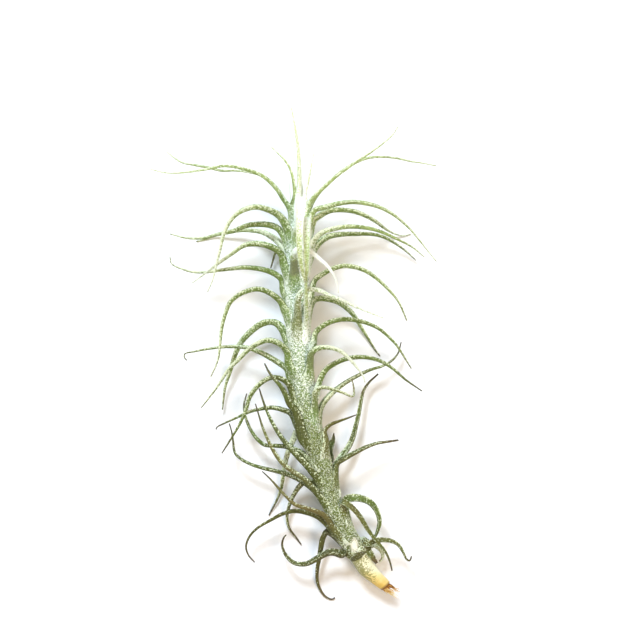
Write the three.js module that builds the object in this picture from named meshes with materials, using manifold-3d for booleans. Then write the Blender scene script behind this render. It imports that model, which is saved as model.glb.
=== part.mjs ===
// A caulescent air plant, Tillandsia stellifera, lying on its side on a table as it was picked.
// Millimetres, +Z up, the tip of the stem towards +Y. The origin is on the table under the plant's middle.
// One stem, clasped all the way by leaf sheaths, carries narrow channelled leaves that arch out and back.
// Below the last leaf the bare yellow stem shows, and its torn end frays into a tuft of fibres.
import * as THREE from "three";
import { mergeVertices } from "three/addons/utils/BufferGeometryUtils.js";
import Module from "manifold-3d";

const wasm = await Module();
wasm.setup();

// Driving dimensions of the plant.
const sheathLength = 4.6; // from a leaf's foot to where it leaves the stem
const sheathWidth = 4.2; // how far a sheath reaches round the stem
const sheathRelief = 0.35; // how far a sheath stands out of the stem
const bladeWidth = 2.2; // a full grown leaf, where it leaves the stem
const bladeDepth = 0.78; // keel and margins, as a share of half the width
const bladeThickness = 0.66; // through the keel
const tipWidth = 0.62; // a leaf ends in a thread
const leafStep = 2.85; // length of one facet along a leaf
const seatGap = 0.3; // left between two pieces that touch
const sliver = 0.04; // detail finer than this is left out where leaves meet
const leafyFoot = -41.6; // Y where the leaf sheaths end and the bare stem starts
const bareFoot = -48.2; // Y where the bare stem is torn off

// The stem's middle line and its radius under the sheaths, from the torn foot to the growing tip.
const stemLine = [
  { at: [19.8, -48.7, 4.6], radius: 1.3 },
  { at: [19, -47.9, 4.7], radius: 1.5 },
  { at: [17.4, -46.5, 5], radius: 1.6 },
  { at: [15.5, -44.4, 5.5], radius: 1.75 },
  { at: [13.8, -41.9, 6.1], radius: 1.95 },
  { at: [12.1, -38.8, 6.8], radius: 1.9 },
  { at: [10.2, -35.3, 7.5], radius: 1.85 },
  { at: [8.2, -30.4, 8.5], radius: 1.85 },
  { at: [6.8, -25.2, 9.4], radius: 1.95 },
  { at: [5.1, -20, 10.4], radius: 2 },
  { at: [3.6, -15, 11.3], radius: 2.15 },
  { at: [2.7, -10, 12], radius: 2.3 },
  { at: [1.6, 0, 13], radius: 2.4 },
  { at: [0.9, 10, 13.6], radius: 2.5 },
  { at: [0.8, 18, 14], radius: 2.45 },
  { at: [1, 25, 14.3], radius: 2.1 },
  { at: [1.2, 30, 14.5], radius: 1.4 },
  { at: [1.2, 34, 14.6], radius: 0.6 },
];

// Leaves, from the tip down. foot is the Y of the stem where the sheath starts, and bearing is the way that
// the leaf leaves the stem: 0 up, 90 right, 180 down, -90 left. wide is its share of bladeWidth, and route is
// the way that the free blade takes. sheath shortens the sheath of the lowest leaves.
const heart = [
  { foot: 27, bearing: -10, wide: 0.55, route: [
    [1.2, 34.4, 15.8], [1.3, 37.3, 16.5], [1.2, 40.3, 17], [1, 43.2, 17.4], [0.4, 46.9, 17.8],
    [-0.3, 50.9, 18.1]] },
  { foot: 26.2, bearing: -60, wide: 0.5, route: [
    [0.3, 33.1, 15.3], [0.2, 35.1, 15.5], [-0.1, 36.9, 15.6], [-0.7, 38.7, 15.7], [-1.6, 40.1, 15.8],
    [-3.1, 41.7, 15.9], [-4.7, 43.2, 16]] },
  { foot: 26.6, bearing: 70, wide: 0.5, route: [
    [2.5, 33.1, 15], [3.1, 35.9, 15.1], [3.7, 38.9, 15.1], [4.3, 41.9, 15.2]] },
  { foot: 26, bearing: -115, wide: 0.5, route: [
    [-0.6, 32.4, 13.4], [-0.8, 35.1, 13], [-1, 37.7, 12.6]] },
  { foot: 26, bearing: 120, wide: 0.5, route: [
    [1.9, 32.6, 12.9], [1.9, 34.7, 12.6], [1.6, 36.5, 12.4]] },
];

const frontLeaves = [
  { foot: 20, bearing: -8, wide: 0.8, route: [
    [1.2, 26.8, 19.6], [1.4, 29.6, 22.6], [1.5, 31.6, 25.4], [1.5, 32, 28], [1.5, 30.4, 30.5],
    [1.5, 27.6, 31.9], [1.4, 24.1, 32.3], [1.5, 20.9, 31.6], [1.9, 18.1, 30.2], [2.3, 16.3, 29],
    [2.6, 15, 28]] },
  { foot: 17, bearing: 22, wide: 0.8, route: [
    [2.9, 23.2, 19.4], [3, 25.7, 22], [3.1, 27.6, 24.2], [3.1, 28, 26.4], [3, 26.4, 28.3],
    [3, 23.5, 29.4], [3, 20.4, 29.2], [3, 17.9, 28.3], [2.9, 16.3, 27.4], [2.8, 14.9, 26.4]] },
  { foot: 12, bearing: -12, wide: 0.8, route: [
    [0.2, 18.7, 18.8], [0.2, 20.4, 21], [0.9, 21.5, 22.6], [2.4, 22, 23.7], [4, 21, 24],
    [5.5, 19.7, 23.8], [6.8, 18.6, 23.3], [7.9, 17.2, 22.4], [8.7, 15.7, 21.3], [9.3, 13.1, 19.9]] },
  { foot: 2.5, bearing: -5, wide: 0.65, route: [
    [1, 8.6, 17.4], [1, 11, 19.2], [1.6, 12.8, 20.4], [2.7, 13.6, 20.9], [4.3, 13.6, 21],
    [5.7, 13.3, 20.8], [7.5, 12.4, 20.2], [9.6, 11.7, 19.4], [11.9, 10.6, 18.4], [15.2, 9.2, 17.2],
    [18.4, 7.9, 16.2]] },
  { foot: 1.6, bearing: 30, wide: 0.55, route: [
    [2.8, 8.1, 17.8], [2.8, 10.5, 20], [2.8, 12.9, 22], [2.8, 15.3, 23.4], [2.9, 18.3, 24.4],
    [3, 21.2, 24.9], [3, 24.1, 24.9]] },
  { foot: -8, bearing: 35, wide: 0.75, route: [
    [3.7, -1, 16.4], [3.9, 0.6, 17.6], [4.9, 1.6, 18.4], [6.1, 1.9, 18.8], [7.4, 1.9, 18.9],
    [8.7, 1.6, 18.7], [10.2, 0.8, 18.2], [11.8, -0.7, 17.2], [13.3, -2.5, 16.1], [14.3, -3.9, 15.2],
    [14.8, -5.3, 14.4]] },
  { foot: -15.5, bearing: 40, wide: 0.7, route: [
    [4.6, -8.4, 15.6], [4.7, -7.1, 16.8], [5.5, -6.3, 17.5], [6.6, -6.2, 17.8], [8.2, -6.6, 17.6],
    [10.2, -7.3, 17], [12.4, -8.1, 16.4], [12.5, -6.4, 16.1], [12.1, -4.6, 16]] },
];

const leftLeaves = [
  { foot: 25.5, bearing: -70, wide: 0.85, route: [
    [-1.8, 32, 15.6], [-3.4, 34.4, 16.6], [-6, 36.8, 17.3], [-9.4, 38.2, 17.4], [-13.9, 39, 16.6],
    [-18.3, 38.3, 15.2], [-22.8, 37.8, 13.8], [-26.1, 37.8, 13.1], [-29.4, 38.6, 13.1]] },
  { foot: 24.5, bearing: -115, wide: 0.7, route: [
    [-2.2, 31.1, 12.3], [-4.1, 34.1, 12.4], [-7.3, 36.4, 12], [-11.7, 37.6, 11.1], [-14.6, 38.1, 10.5],
    [-17.6, 39.1, 9.8], [-20.7, 39.7, 9.3], [-23.3, 40.3, 8.9], [-26.4, 42.5, 8.8]] },
  { foot: 21, bearing: -58, wide: 1, route: [
    [-2.7, 28.7, 17.6], [-5, 30, 19.4], [-7.3, 30.5, 20.4], [-9.6, 30, 20.7], [-11.7, 28.8, 20.4],
    [-13.2, 26.9, 19.8], [-14.2, 24.5, 19], [-14.9, 21.6, 18], [-15.7, 18.6, 17], [-16.4, 15.8, 16],
    [-17.5, 13.3, 15]] },
  { foot: 19.5, bearing: -95, wide: 0.95, route: [
    [-3.1, 26.4, 14], [-5.1, 27.1, 14.3], [-7.5, 27.2, 14.2], [-9.8, 26.9, 13.7], [-12.4, 25.9, 12.8],
    [-15.8, 25.2, 11.6], [-18.6, 24.5, 10.6], [-22.1, 24.5, 9.6], [-25.6, 25.4, 8.8]] },
  { foot: 16.5, bearing: -130, wide: 1, route: [
    [-2.9, 23.5, 9.6], [-4.6, 24.9, 8.2], [-6.5, 25.9, 7], [-9, 26.3, 5.4], [-11.3, 26.3, 3.8],
    [-14, 25.8, 2.4], [-16.6, 25.3, 1], [-18.5, 24.6, 0.4], [-20.6, 24.1, 0.3]] },
  { foot: 14.3, bearing: -75, wide: 1, route: [
    [-2.4, 21.1, 15.5], [-3.8, 22.2, 16.5], [-5.8, 22.9, 17.2], [-8.1, 23.1, 17.2], [-10.2, 22.7, 16.6],
    [-12.3, 21.3, 15.4], [-14.7, 19.7, 13.8], [-17.7, 17.5, 11.7], [-20.9, 15.2, 9.8]] },
  { foot: 11.5, bearing: -155, wide: 0.6, route: [
    [-0.9, 18.3, 8.6], [-1.9, 20.4, 6.8], [-3, 21.5, 5.2], [-3.8, 21.5, 3.8], [-4.2, 20.3, 2.8],
    [-4.8, 18.4, 1.9]] },
  { foot: 9.3, bearing: -100, wide: 0.85, route: [
    [-2.4, 15.9, 12.8], [-4.1, 17.2, 12.9], [-6.5, 18, 12.6], [-10.1, 18.4, 11.7], [-12.4, 18.2, 11],
    [-14.9, 17.9, 10.2], [-17.8, 17.5, 9.4], [-20.9, 17.5, 8.8], [-23.3, 18.2, 8.5], [-25.3, 19.2, 8.4],
    [-25.6, 20.6, 8.6]] },
  { foot: 5.3, bearing: -70, wide: 0.9, route: [
    [-2.4, 11.1, 15], [-3.5, 12.3, 16], [-5.2, 13.4, 16.8], [-7.2, 13.9, 17.1], [-9.3, 13.5, 17],
    [-11.2, 12.6, 16.7], [-12.8, 11.2, 16.1], [-13.8, 8.9, 15.3], [-14.6, 6, 14.3], [-15, 2.6, 13.1],
    [-15.5, -0.7, 12], [-17, -4.2, 10.9]] },
  { foot: -0.8, bearing: -112, wide: 1.05, route: [
    [-2.5, 5.9, 10.9], [-3.7, 7, 10.4], [-5.1, 7.2, 9.8], [-7.1, 6.4, 8.6], [-9.2, 4.7, 7.3],
    [-10.9, 2.8, 6.1], [-12, 0.6, 5], [-13.3, -3.5, 3.7], [-14.3, -6.5, 2.7], [-15, -11.4, 1.6]] },
  { foot: -5.8, bearing: -72, wide: 0.95, route: [
    [-1.2, 0.9, 14], [-2.3, 2.4, 14.9], [-3.8, 3.2, 15.3], [-5.4, 3.4, 15.3], [-7.3, 2.7, 14.9],
    [-9.1, 1.5, 14.3], [-11.3, -0.7, 13.2], [-13.3, -2.7, 12.1], [-15.7, -6.3, 10.4],
    [-17.2, -8.3, 9.4], [-19.1, -10.7, 8.4]] },
  { foot: -8.8, bearing: -105, wide: 0.85, route: [
    [-1.4, -2.5, 11.2], [-2.9, -1.4, 11.2], [-5.4, 0.1, 10.9], [-7.7, 1.2, 10.4], [-10.1, 1.9, 9.8],
    [-13.7, 2, 9], [-17.3, 1.6, 8.3], [-20.9, 0.9, 7.7], [-22.6, 0.5, 7.4], [-22.8, -0.1, 7.3],
    [-22.2, -0.9, 7.2]] },
  { foot: -13.5, bearing: -72, wide: 0.85, route: [
    [-0.5, -6.5, 13.8], [-1.4, -5.1, 14.4], [-2.9, -4.3, 14.7], [-4.6, -4.3, 14.7], [-6.3, -5.2, 14.3],
    [-7.8, -6.7, 13.5], [-8.9, -8.4, 12.5], [-9.8, -11.3, 11.1], [-11.3, -14.5, 9.5], [-13, -17.3, 8],
    [-14.9, -20.3, 6.4]] },
  { foot: -18.5, bearing: -100, wide: 0.85, route: [
    [-0.5, -11.8, 10.9], [-2, -11.1, 10.6], [-4.3, -10.6, 10], [-6.8, -10.9, 9.3], [-9.3, -11.6, 8.6],
    [-12, -12.9, 7.9], [-14.8, -14.2, 7.3], [-15.9, -14.8, 7], [-16.1, -15.3, 6.9]] },
  { foot: -20.5, bearing: -55, wide: 0.9, route: [
    [0.4, -11.2, 14], [-0.8, -9.6, 15], [-1.6, -7.7, 15.8], [-2.5, -6.1, 16.4], [-3.8, -4.6, 17],
    [-4.9, -3.1, 17.3], [-5.8, -1.3, 17.4]] },
  { foot: -24.8, bearing: -98, wide: 0.8, route: [
    [0.5, -19.4, 9], [-1.3, -18.8, 8.5], [-3.9, -18.6, 7.8], [-6, -18.5, 7.1], [-7.7, -17.2, 6.5],
    [-9, -15.3, 5.9], [-9.9, -13.2, 5.4], [-10.4, -10.4, 4.9], [-9.8, -7.9, 4.6]] },
  { foot: -29, bearing: -55, wide: 0.9, route: [
    [2.9, -22.7, 12], [0.9, -20.6, 12.5], [-1.1, -18.4, 12.5], [-2.8, -16.2, 12.4], [-4.3, -13.7, 12.2],
    [-5.4, -11.4, 12], [-6.2, -9.2, 12], [-7, -6.6, 12.2]] },
  { foot: -33.5, bearing: -58, wide: 0.85, route: [
    [3.9, -27.1, 11.6], [2.1, -25.2, 12], [0, -23.8, 12.1], [-2, -22.3, 12], [-3.6, -20.3, 11.8],
    [-5.2, -17.3, 11.5], [-6.3, -14.7, 11.3], [-7.2, -11.8, 11.3], [-7.8, -9.8, 11.4]] },
  { foot: -33, bearing: -100, wide: 0.8, route: [
    [3.3, -27, 8.6], [1.1, -25.6, 8.4], [-1.5, -24.5, 8.1], [-3.8, -23.9, 7.7], [-6.5, -23.3, 7.3],
    [-8.8, -22.6, 6.9], [-10.8, -21.6, 6.5], [-12.2, -20.3, 6.3], [-12.6, -17.9, 6.1],
    [-12.9, -15.8, 6.1], [-13.4, -14.1, 6.2]] },
  { foot: -21.5, bearing: -145, wide: 0.85, route: [
    [1.1, -15.5, 7.6], [0.5, -16.6, 6.2], [-0.5, -18.7, 5], [-1.4, -21.4, 4], [-2, -24.7, 2.9],
    [-2.6, -28.1, 1.9], [-3.6, -30.7, 1.1], [-4.6, -32.6, 0.5], [-5.2, -33.8, 0.3]] },
  { foot: -32.5, bearing: -140, wide: 0.9, route: [
    [3.6, -26.6, 6], [2.3, -26.4, 5.3], [1.1, -27.5, 4.6], [0.1, -29, 4], [-0.9, -31.3, 3.3],
    [-1.4, -34, 2.4], [-0.9, -36.4, 1.5], [0.4, -38.2, 0.8], [1.6, -39.9, 0.4]] },
  { foot: -39.5, bearing: -62, wide: 0.85, route: [
    [6.5, -33.1, 10], [5, -32.2, 10.6], [2.7, -31.4, 11.1], [0.4, -30.6, 11.3], [-1.4, -29, 11.2],
    [-3, -27.3, 11], [-4.5, -25.6, 10.8], [-6.4, -23.8, 10.6]] },
  { foot: -40, bearing: -88, wide: 0.85, route: [
    [6.6, -34.6, 7.8], [5.1, -33.4, 7.9], [3, -32.6, 7.9], [0.2, -32.2, 7.8], [-2.2, -32.8, 7.5],
    [-4.8, -34.2, 7], [-7.4, -35.8, 6.4], [-9.1, -37.6, 5.8], [-9.9, -39.8, 5.3], [-9.4, -41.7, 5],
    [-8.1, -43.2, 4.8]] },
  { foot: -41.2, bearing: -125, wide: 1, sheath: 3, route: [
    [8, -37.1, 6.6], [6.9, -36.8, 6.1], [6.2, -37.8, 5.6], [5.8, -39.7, 4.8], [5.4, -42.3, 3.8],
    [5, -44.8, 2.7], [5, -47.4, 1.6], [5.7, -49.5, 0.8], [6.9, -51, 0.4], [8.2, -51.5, 0.3],
    [8.7, -51.1, 0.4]] },
  { foot: -41.2, bearing: -88, wide: 1.05, sheath: 1.4, route: [
    [10.1, -41.4, 7.4], [8.5, -40.9, 7.6], [6.9, -41.1, 7.6], [4.8, -42.3, 7.4], [2.5, -43.4, 7],
    [0.1, -43.2, 6.5], [-1.7, -41.5, 6], [-2.4, -39.4, 5.7], [-2, -37.9, 5.6], [-1.5, -37.4, 5.6]] },
];

const rightLeaves = [
  { foot: 25, bearing: 72, wide: 0.75, route: [
    [3.6, 31.7, 15.6], [5, 33.4, 16.4], [6.9, 35.1, 17], [8.8, 36.8, 17.6], [11.2, 38.5, 18.1],
    [13.4, 40.1, 18.3], [15.8, 41.6, 18.2], [18.1, 43.3, 18], [20.2, 45.1, 17.8], [21.5, 47, 17.7]] },
  { foot: 24, bearing: 115, wide: 0.7, route: [
    [3.8, 31.3, 12.6], [5.4, 33.8, 13], [7.7, 36, 13.4], [10, 38, 13.6], [12.6, 39.7, 13.6],
    [15.3, 40.8, 13.3], [18.2, 41.1, 12.8], [21.2, 40.9, 12.2], [24.2, 40.3, 11.5], [27.1, 39.9, 10.9],
    [29.6, 39.4, 10.5]] },
  { foot: 22.4, bearing: 78, wide: 0.85, route: [
    [4.4, 30, 15.6], [6.2, 30.5, 16.4], [8.8, 31.2, 17.2], [12, 31.6, 17.7], [14.9, 31.3, 17.8],
    [17.8, 30.5, 17.5], [20.8, 28.9, 16.8], [23.7, 26.5, 15.6], [26.1, 23.8, 14.2], [28.4, 21, 12.8],
    [29.6, 19.6, 12]] },
  { foot: 20.5, bearing: 102, wide: 0.95, route: [
    [4.3, 28.1, 12.8], [5.6, 29.1, 12.9], [7.6, 30.1, 12.6], [10, 30.3, 11.9], [12.6, 30, 10.9],
    [15.1, 29.1, 9.5], [17.2, 28, 7.6], [18.5, 27.1, 5.6], [19.9, 26.3, 3.4], [21.6, 25.6, 1.4],
    [23.3, 25.3, 0.5], [24.7, 25.7, 0.4]] },
  { foot: 17.3, bearing: 82, wide: 0.85, route: [
    [4.4, 24.1, 15], [6, 25.5, 15.3], [8.5, 26.3, 15.2], [11.2, 26.7, 14.8], [14, 26.6, 14.2],
    [16.8, 26.1, 13.4], [19.1, 25.3, 12.6], [21.5, 24.2, 11.7], [24.5, 22.7, 10.5],
    [27.2, 20.6, 9.4]] },
  { foot: 15, bearing: 118, wide: 1, route: [
    [4.5, 22.3, 10.9], [5.5, 23.6, 10.4], [7.2, 24.8, 9.7], [10.2, 25.4, 8.5], [13.1, 25.5, 7.3],
    [16.1, 25.5, 6.1], [18.6, 25, 5], [21, 23.8, 3.9], [23.5, 22.1, 2.6], [25.8, 20.1, 1.3]] },
  { foot: 8, bearing: 92, wide: 0.85, route: [
    [4.4, 15.7, 13.6], [6, 17, 13.5], [8.3, 18.2, 13.1], [10.6, 18.7, 12.4], [12.9, 18.4, 11.6],
    [15.1, 17.6, 10.6], [17.3, 16.1, 9.5], [19.8, 13.8, 8.3], [21.9, 11.3, 7], [23.7, 7.4, 5.4]] },
  { foot: 4.5, bearing: 128, wide: 1, route: [
    [4.3, 11.7, 9.7], [5.6, 12.1, 9], [7.2, 11.9, 8.2], [9, 11.4, 7.2], [11.1, 10, 5.9],
    [12.7, 8.3, 4.5], [14.2, 5.9, 2.9], [16, 3.1, 1.4], [17.3, 1, 0.5], [18.2, -0.1, 0.3]] },
  { foot: -2, bearing: 86, wide: 0.85, route: [
    [4.6, 4.9, 13], [6, 6.3, 13.2], [8.1, 7.3, 13], [10.4, 7.7, 12.5], [12.8, 7.5, 11.8],
    [15.2, 6.9, 11], [17.6, 5.8, 10.1], [19.6, 4.2, 9.2], [21.5, 2.2, 8.3], [22.7, 0.4, 7.6],
    [24.6, -2.6, 6.6]] },
  { foot: -11.5, bearing: 84, wide: 0.9, route: [
    [5.9, -3.9, 12.8], [7, -2.4, 13], [8.7, -1.3, 12.9], [10.7, -0.5, 12.5], [13.3, -0.1, 11.9],
    [15.9, -0.3, 11.2], [18.5, -1.2, 10.3], [20.8, -2.7, 9.5], [23.2, -4.8, 8.6], [26.8, -7.3, 7.4]] },
  { foot: -17.5, bearing: 118, wide: 0.85, route: [
    [5.9, -10.4, 8.9], [6.9, -8.9, 8.4], [8.6, -7.2, 7.8], [10.9, -5.5, 7.2], [13.4, -4.1, 6.6],
    [16, -2.9, 6], [18.6, -2.1, 5.4], [20.6, -1, 4.9], [21.9, 0.5, 4.5], [22.6, 2.9, 4.2]] },
  { foot: -31, bearing: 132, wide: 0.85, route: [
    [9, -22.8, 6.6], [10, -21.2, 6], [11.5, -19.2, 5.5], [12.5, -17.1, 5.1], [13.2, -14.4, 4.8],
    [13.8, -11.9, 4.6], [14.2, -9.6, 4.4], [14.7, -7.4, 4.2], [15.7, -5.8, 4.1], [17.8, -3.8, 4]] },
  { foot: -28.8, bearing: 96, wide: 0.8, route: [
    [9, -22.3, 9.6], [10.7, -21.2, 9.6], [12.9, -20, 9.3], [15.4, -18.8, 8.9], [17.5, -18.1, 8.5],
    [19.7, -17.8, 8.1], [21.9, -17.5, 7.8]] },
  { foot: -22.5, bearing: 80, wide: 0.75, route: [
    [6.5, -15.4, 11.4], [7.5, -14.2, 11.5], [9.4, -13.4, 11.2], [11.2, -12.8, 10.8],
    [13.1, -12.1, 10.4]] },
  { foot: -27.5, bearing: 145, wide: 0.65, route: [
    [7.7, -21.5, 6], [7.4, -20.4, 5], [7.8, -19, 4.2], [8.4, -17.7, 3.5], [8.5, -16.2, 2.8]] },
  { foot: -36.8, bearing: 100, wide: 1, route: [
    [11.1, -30, 8.4], [12.6, -29.6, 8.7], [14.3, -29.8, 8.7], [16, -30.6, 8.4], [17.3, -32.3, 8],
    [17.9, -34.5, 7.5], [17.5, -36.5, 7], [16.9, -37.9, 6.3], [16.1, -39, 5.2], [15.4, -39.9, 4]] },
  { foot: -36.4, bearing: 52, wide: 0.7, route: [
    [10.2, -30, 11.4], [11.5, -30.7, 11.9], [12.9, -32, 11.8], [14.1, -33.6, 11.5], [15.2, -35.5, 11.1],
    [16.4, -37.2, 10.6], [18, -39.1, 10], [19.3, -40.9, 9.5], [20.1, -42.9, 9], [20.5, -44.6, 8.6]] },
  { foot: -41.2, bearing: 78, wide: 0.75, sheath: 1.5, route: [
    [15.7, -39.2, 8], [17.2, -38.5, 7.9], [19, -38.4, 7.6], [20.6, -38.7, 7.1], [21.9, -39.5, 6.5],
    [22.9, -41, 5.9], [23.7, -42.6, 5.4], [24.3, -42.9, 5.2], [24.6, -42.4, 5.2], [24.7, -41.9, 5.3]] },
  { foot: -41.2, bearing: 125, wide: 0.75, sheath: 1.2, route: [
    [15.5, -39.8, 6], [16.7, -39.4, 5.6], [17.8, -40.1, 5], [18.6, -41.2, 4.4], [18.7, -42.4, 3.8],
    [18.1, -43.2, 3.4]] },
  { foot: -41.2, bearing: 95, wide: 0.8, sheath: 1, route: [
    [15.5, -40.6, 7], [16.2, -41.5, 6.8], [16.9, -42.6, 6.4], [17.4, -43.3, 6]] },
];

// The leaves that the stem lies on. Each goes down, bends on the table and runs back along it.
const underFeet = [22.5, 13, 6.5, 0, -6.5, -13.5];
const underBearings = [172, -166];
const underLength = 12; // length that lies along the table
const underStep = 3.6;
const tableHeight = 0.3; // middle of a blade that lies on the table

// Whole numbers mod a prime, so that the same leaf always gets the same share from -1 to 1.
function share(index) {
  return (((index + 1) * 37) % 23) / 11 - 1;
}

const stemCurve = new THREE.CatmullRomCurve3(
  stemLine.map(({ at }) => new THREE.Vector3(...at)),
  false,
  "centripetal",
);
const stemSamples = stemCurve.getPoints(600);

// The stem's middle, radius and own directions at a height Y.
function stemAt(y) {
  let i = stemSamples.findIndex((p) => p.y >= y);
  i = Math.max(1, i < 0 ? stemSamples.length - 1 : i);
  const [a, b] = [stemSamples[i - 1], stemSamples[i]];
  const middle = a.clone().lerp(b, (y - a.y) / (b.y - a.y));
  const along = b.clone().sub(a).normalize();
  const up = new THREE.Vector3(0, 0, 1).addScaledVector(along, -along.z).normalize();
  const right = along.clone().cross(up);
  let j = stemLine.findIndex(({ at }) => at[1] >= y);
  j = Math.max(1, j < 0 ? stemLine.length - 1 : j);
  const [p, q] = [stemLine[j - 1], stemLine[j]];
  const t = THREE.MathUtils.clamp((y - p.at[1]) / (q.at[1] - p.at[1]), 0, 1);
  return { middle, along, up, right, radius: THREE.MathUtils.lerp(p.radius, q.radius, t) };
}

function outwards(stem, bearing) {
  const angle = THREE.MathUtils.degToRad(bearing);
  return stem.up.clone().multiplyScalar(Math.cos(angle)).addScaledVector(stem.right, Math.sin(angle));
}

// A closed solid through rings of equally many points, counter-clockwise seen from its far end.
function loft(rings) {
  const sides = rings[0].length;
  const corners = rings.flat().flatMap((p) => [p.x, p.y, p.z]);
  const faces = [];
  for (let ring = 0; ring < rings.length - 1; ring++) {
    for (let k = 0; k < sides; k++) {
      const [a, b] = [ring * sides + k, ring * sides + ((k + 1) % sides)];
      faces.push(a, b, b + sides, a, b + sides, a + sides);
    }
  }
  const last = (rings.length - 1) * sides;
  for (let k = 1; k < sides - 1; k++) {
    faces.push(0, k + 1, k, last, last + k, last + k + 1);
  }
  const geometry = new THREE.BufferGeometry();
  geometry.setAttribute("position", new THREE.Float32BufferAttribute(corners, 3));
  geometry.setIndex(faces);
  return geometry;
}

function solidOf(geometry) {
  const plain = geometry.clone();
  plain.deleteAttribute("normal");
  plain.deleteAttribute("uv");
  const merged = mergeVertices(plain, 1e-3);
  return new wasm.Manifold(
    new wasm.Mesh({
      numProp: 3,
      vertProperties: new Float32Array(merged.attributes.position.array),
      triVerts: new Uint32Array(merged.index.array),
    }),
  );
}

function geometryOf(solid) {
  const { vertProperties, triVerts } = solid.getMesh();
  const geometry = new THREE.BufferGeometry();
  geometry.setAttribute("position", new THREE.Float32BufferAttribute(vertProperties, 3));
  geometry.setIndex(new THREE.Uint32BufferAttribute(triVerts, 1));
  const facets = geometry.toNonIndexed();
  facets.computeVertexNormals();
  return facets;
}

// Directions across and into the channel at each point of a line, turning no more than the line does.
function framesAlong(points, firstFacing) {
  const frames = [];
  let facing = firstFacing;
  for (let i = 0; i < points.length; i++) {
    const before = points[Math.max(0, i - 1)];
    const after = points[Math.min(points.length - 1, i + 1)];
    const along = after.clone().sub(before).normalize();
    facing = facing.clone().addScaledVector(along, -facing.dot(along)).normalize();
    frames.push({ along, facing, across: along.clone().cross(facing) });
  }
  return frames;
}

// A leaf: a flared sheath sunk in the stem, then a keeled, channelled blade that narrows to a thread.
function leafSolid({ foot, bearing, wide, route, sheath = sheathLength }) {
  const [low, mid, top] = [0, 0.55, 1].map((share) => stemAt(foot + share * sheath));
  const way = outwards(low, bearing);
  const start = [
    low.middle.clone().addScaledVector(way, 0.75 * low.radius),
    mid.middle.clone().addScaledVector(way, 0.85 * mid.radius),
    top.middle.clone().addScaledVector(way, top.radius + 0.4),
  ];
  const line = new THREE.CatmullRomCurve3(
    [...start, ...route.map((p) => new THREE.Vector3(...p))],
    false,
    "centripetal",
  );
  const length = line.getLength();
  const steps = Math.round(THREE.MathUtils.clamp(length / leafStep, 5, 13));
  const points = line.getSpacedPoints(steps);
  const frames = framesAlong(points, way.clone().negate());
  const half = (wide * bladeWidth) / 2;
  const rings = points.map((p, i) => {
    const run = (i / steps) * length;
    const clasp = 1 - THREE.MathUtils.smoothstep(run, 0.2 * sheath, 1.25 * sheath);
    const free = THREE.MathUtils.clamp((run - sheath) / (length - sheath), 0, 1);
    const blade = THREE.MathUtils.lerp(half, tipWidth / 2, free ** 1.15);
    const w = THREE.MathUtils.lerp(blade, sheathWidth / 2, clasp);
    const keel = THREE.MathUtils.lerp(bladeDepth * blade, 0.25 * low.radius + sheathRelief, clasp);
    const margin = Math.max(THREE.MathUtils.lerp(0.6 * blade, 0.75, clasp), 0.28);
    const depth = Math.max(keel, 0.36);
    const groove = THREE.MathUtils.lerp(bladeThickness - depth, 0.4, clasp);
    const outline = [
      [0, Math.min(groove, margin - 0.04)],
      [w, margin],
      [0.74 * w, -0.5 * depth],
      [0, -depth],
      [-0.74 * w, -0.5 * depth],
      [-w, margin],
    ];
    const { across, facing } = frames[i];
    return outline.map(([a, n]) => p.clone().addScaledVector(across, a).addScaledVector(facing, n));
  });
  return solidOf(loft(rings));
}

// The hidden leaves follow one rule: down from the stem, a bend at the table, a run back to the foot.
function underLeaf(foot, index) {
  const bearing = underBearings[index % underBearings.length];
  const side = Math.sign(Math.sin(THREE.MathUtils.degToRad(bearing)));
  const bend = stemAt(foot + 7);
  const drop = bend.middle.z - bend.radius;
  const x = bend.middle.x + 0.7 * side;
  const y = foot + 7 + 0.5 * share(index);
  const route = [
    [x, y - 0.6, 0.62 * drop],
    [x + 0.5 * side, y, 0.3 * drop],
    [x + 0.9 * side, y - 1.6, tableHeight + 0.6],
  ];
  for (let run = 1; run * underStep <= underLength; run++) {
    const back = y - 1.6 - run * underStep;
    route.push([stemAt(back).middle.x + (1.4 + 0.35 * run) * side, back, tableHeight]);
  }
  return { foot, bearing, wide: 0.85, route };
}

// A round bar round the stem's middle line between two heights, grown by extra.
function stemSolid(from, to, sides, rows, extra = 0) {
  const rings = [];
  for (let row = 0; row <= rows; row++) {
    const stem = stemAt(from + ((to - from) * row) / rows);
    rings.push(
      Array.from({ length: sides }, (_, k) =>
        stem.middle.clone().addScaledVector(outwards(stem, (360 * k) / sides), stem.radius + extra),
      ),
    );
  }
  return solidOf(loft(rings));
}

const leafRows = [
  ...heart,
  ...frontLeaves,
  ...leftLeaves,
  ...rightLeaves,
  ...underFeet.map(underLeaf),
];

// Everything below the table's top is cut away, which leaves small flat spots where the leaves lie.
const tableBlock = new THREE.BoxGeometry(120, 140, 10).translate(0, 0, -5);

// Where sheaths close round a pocket the plant is solid, so only the outer surface is kept.
function outerBody(solid) {
  let body = solid;
  for (let pass = 0; pass < 3; pass++) {
    body = body.simplify(sliver);
    body = body.decompose().reduce((a, b) => (a.volume() > b.volume() ? a : b));
    body = solidOf(geometryOf(body));
  }
  return body;
}

const leafyStem = outerBody(
  wasm.Manifold.union([stemSolid(leafyFoot, 34, 12, 22), ...leafRows.map(leafSolid)])
    .subtract(solidOf(tableBlock))
    .subtract(stemSolid(bareFoot - 1, leafyFoot, 14, 7, seatGap)),
);

const bareStem = stemSolid(bareFoot, leafyFoot - seatGap, 14, 6);

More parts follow.
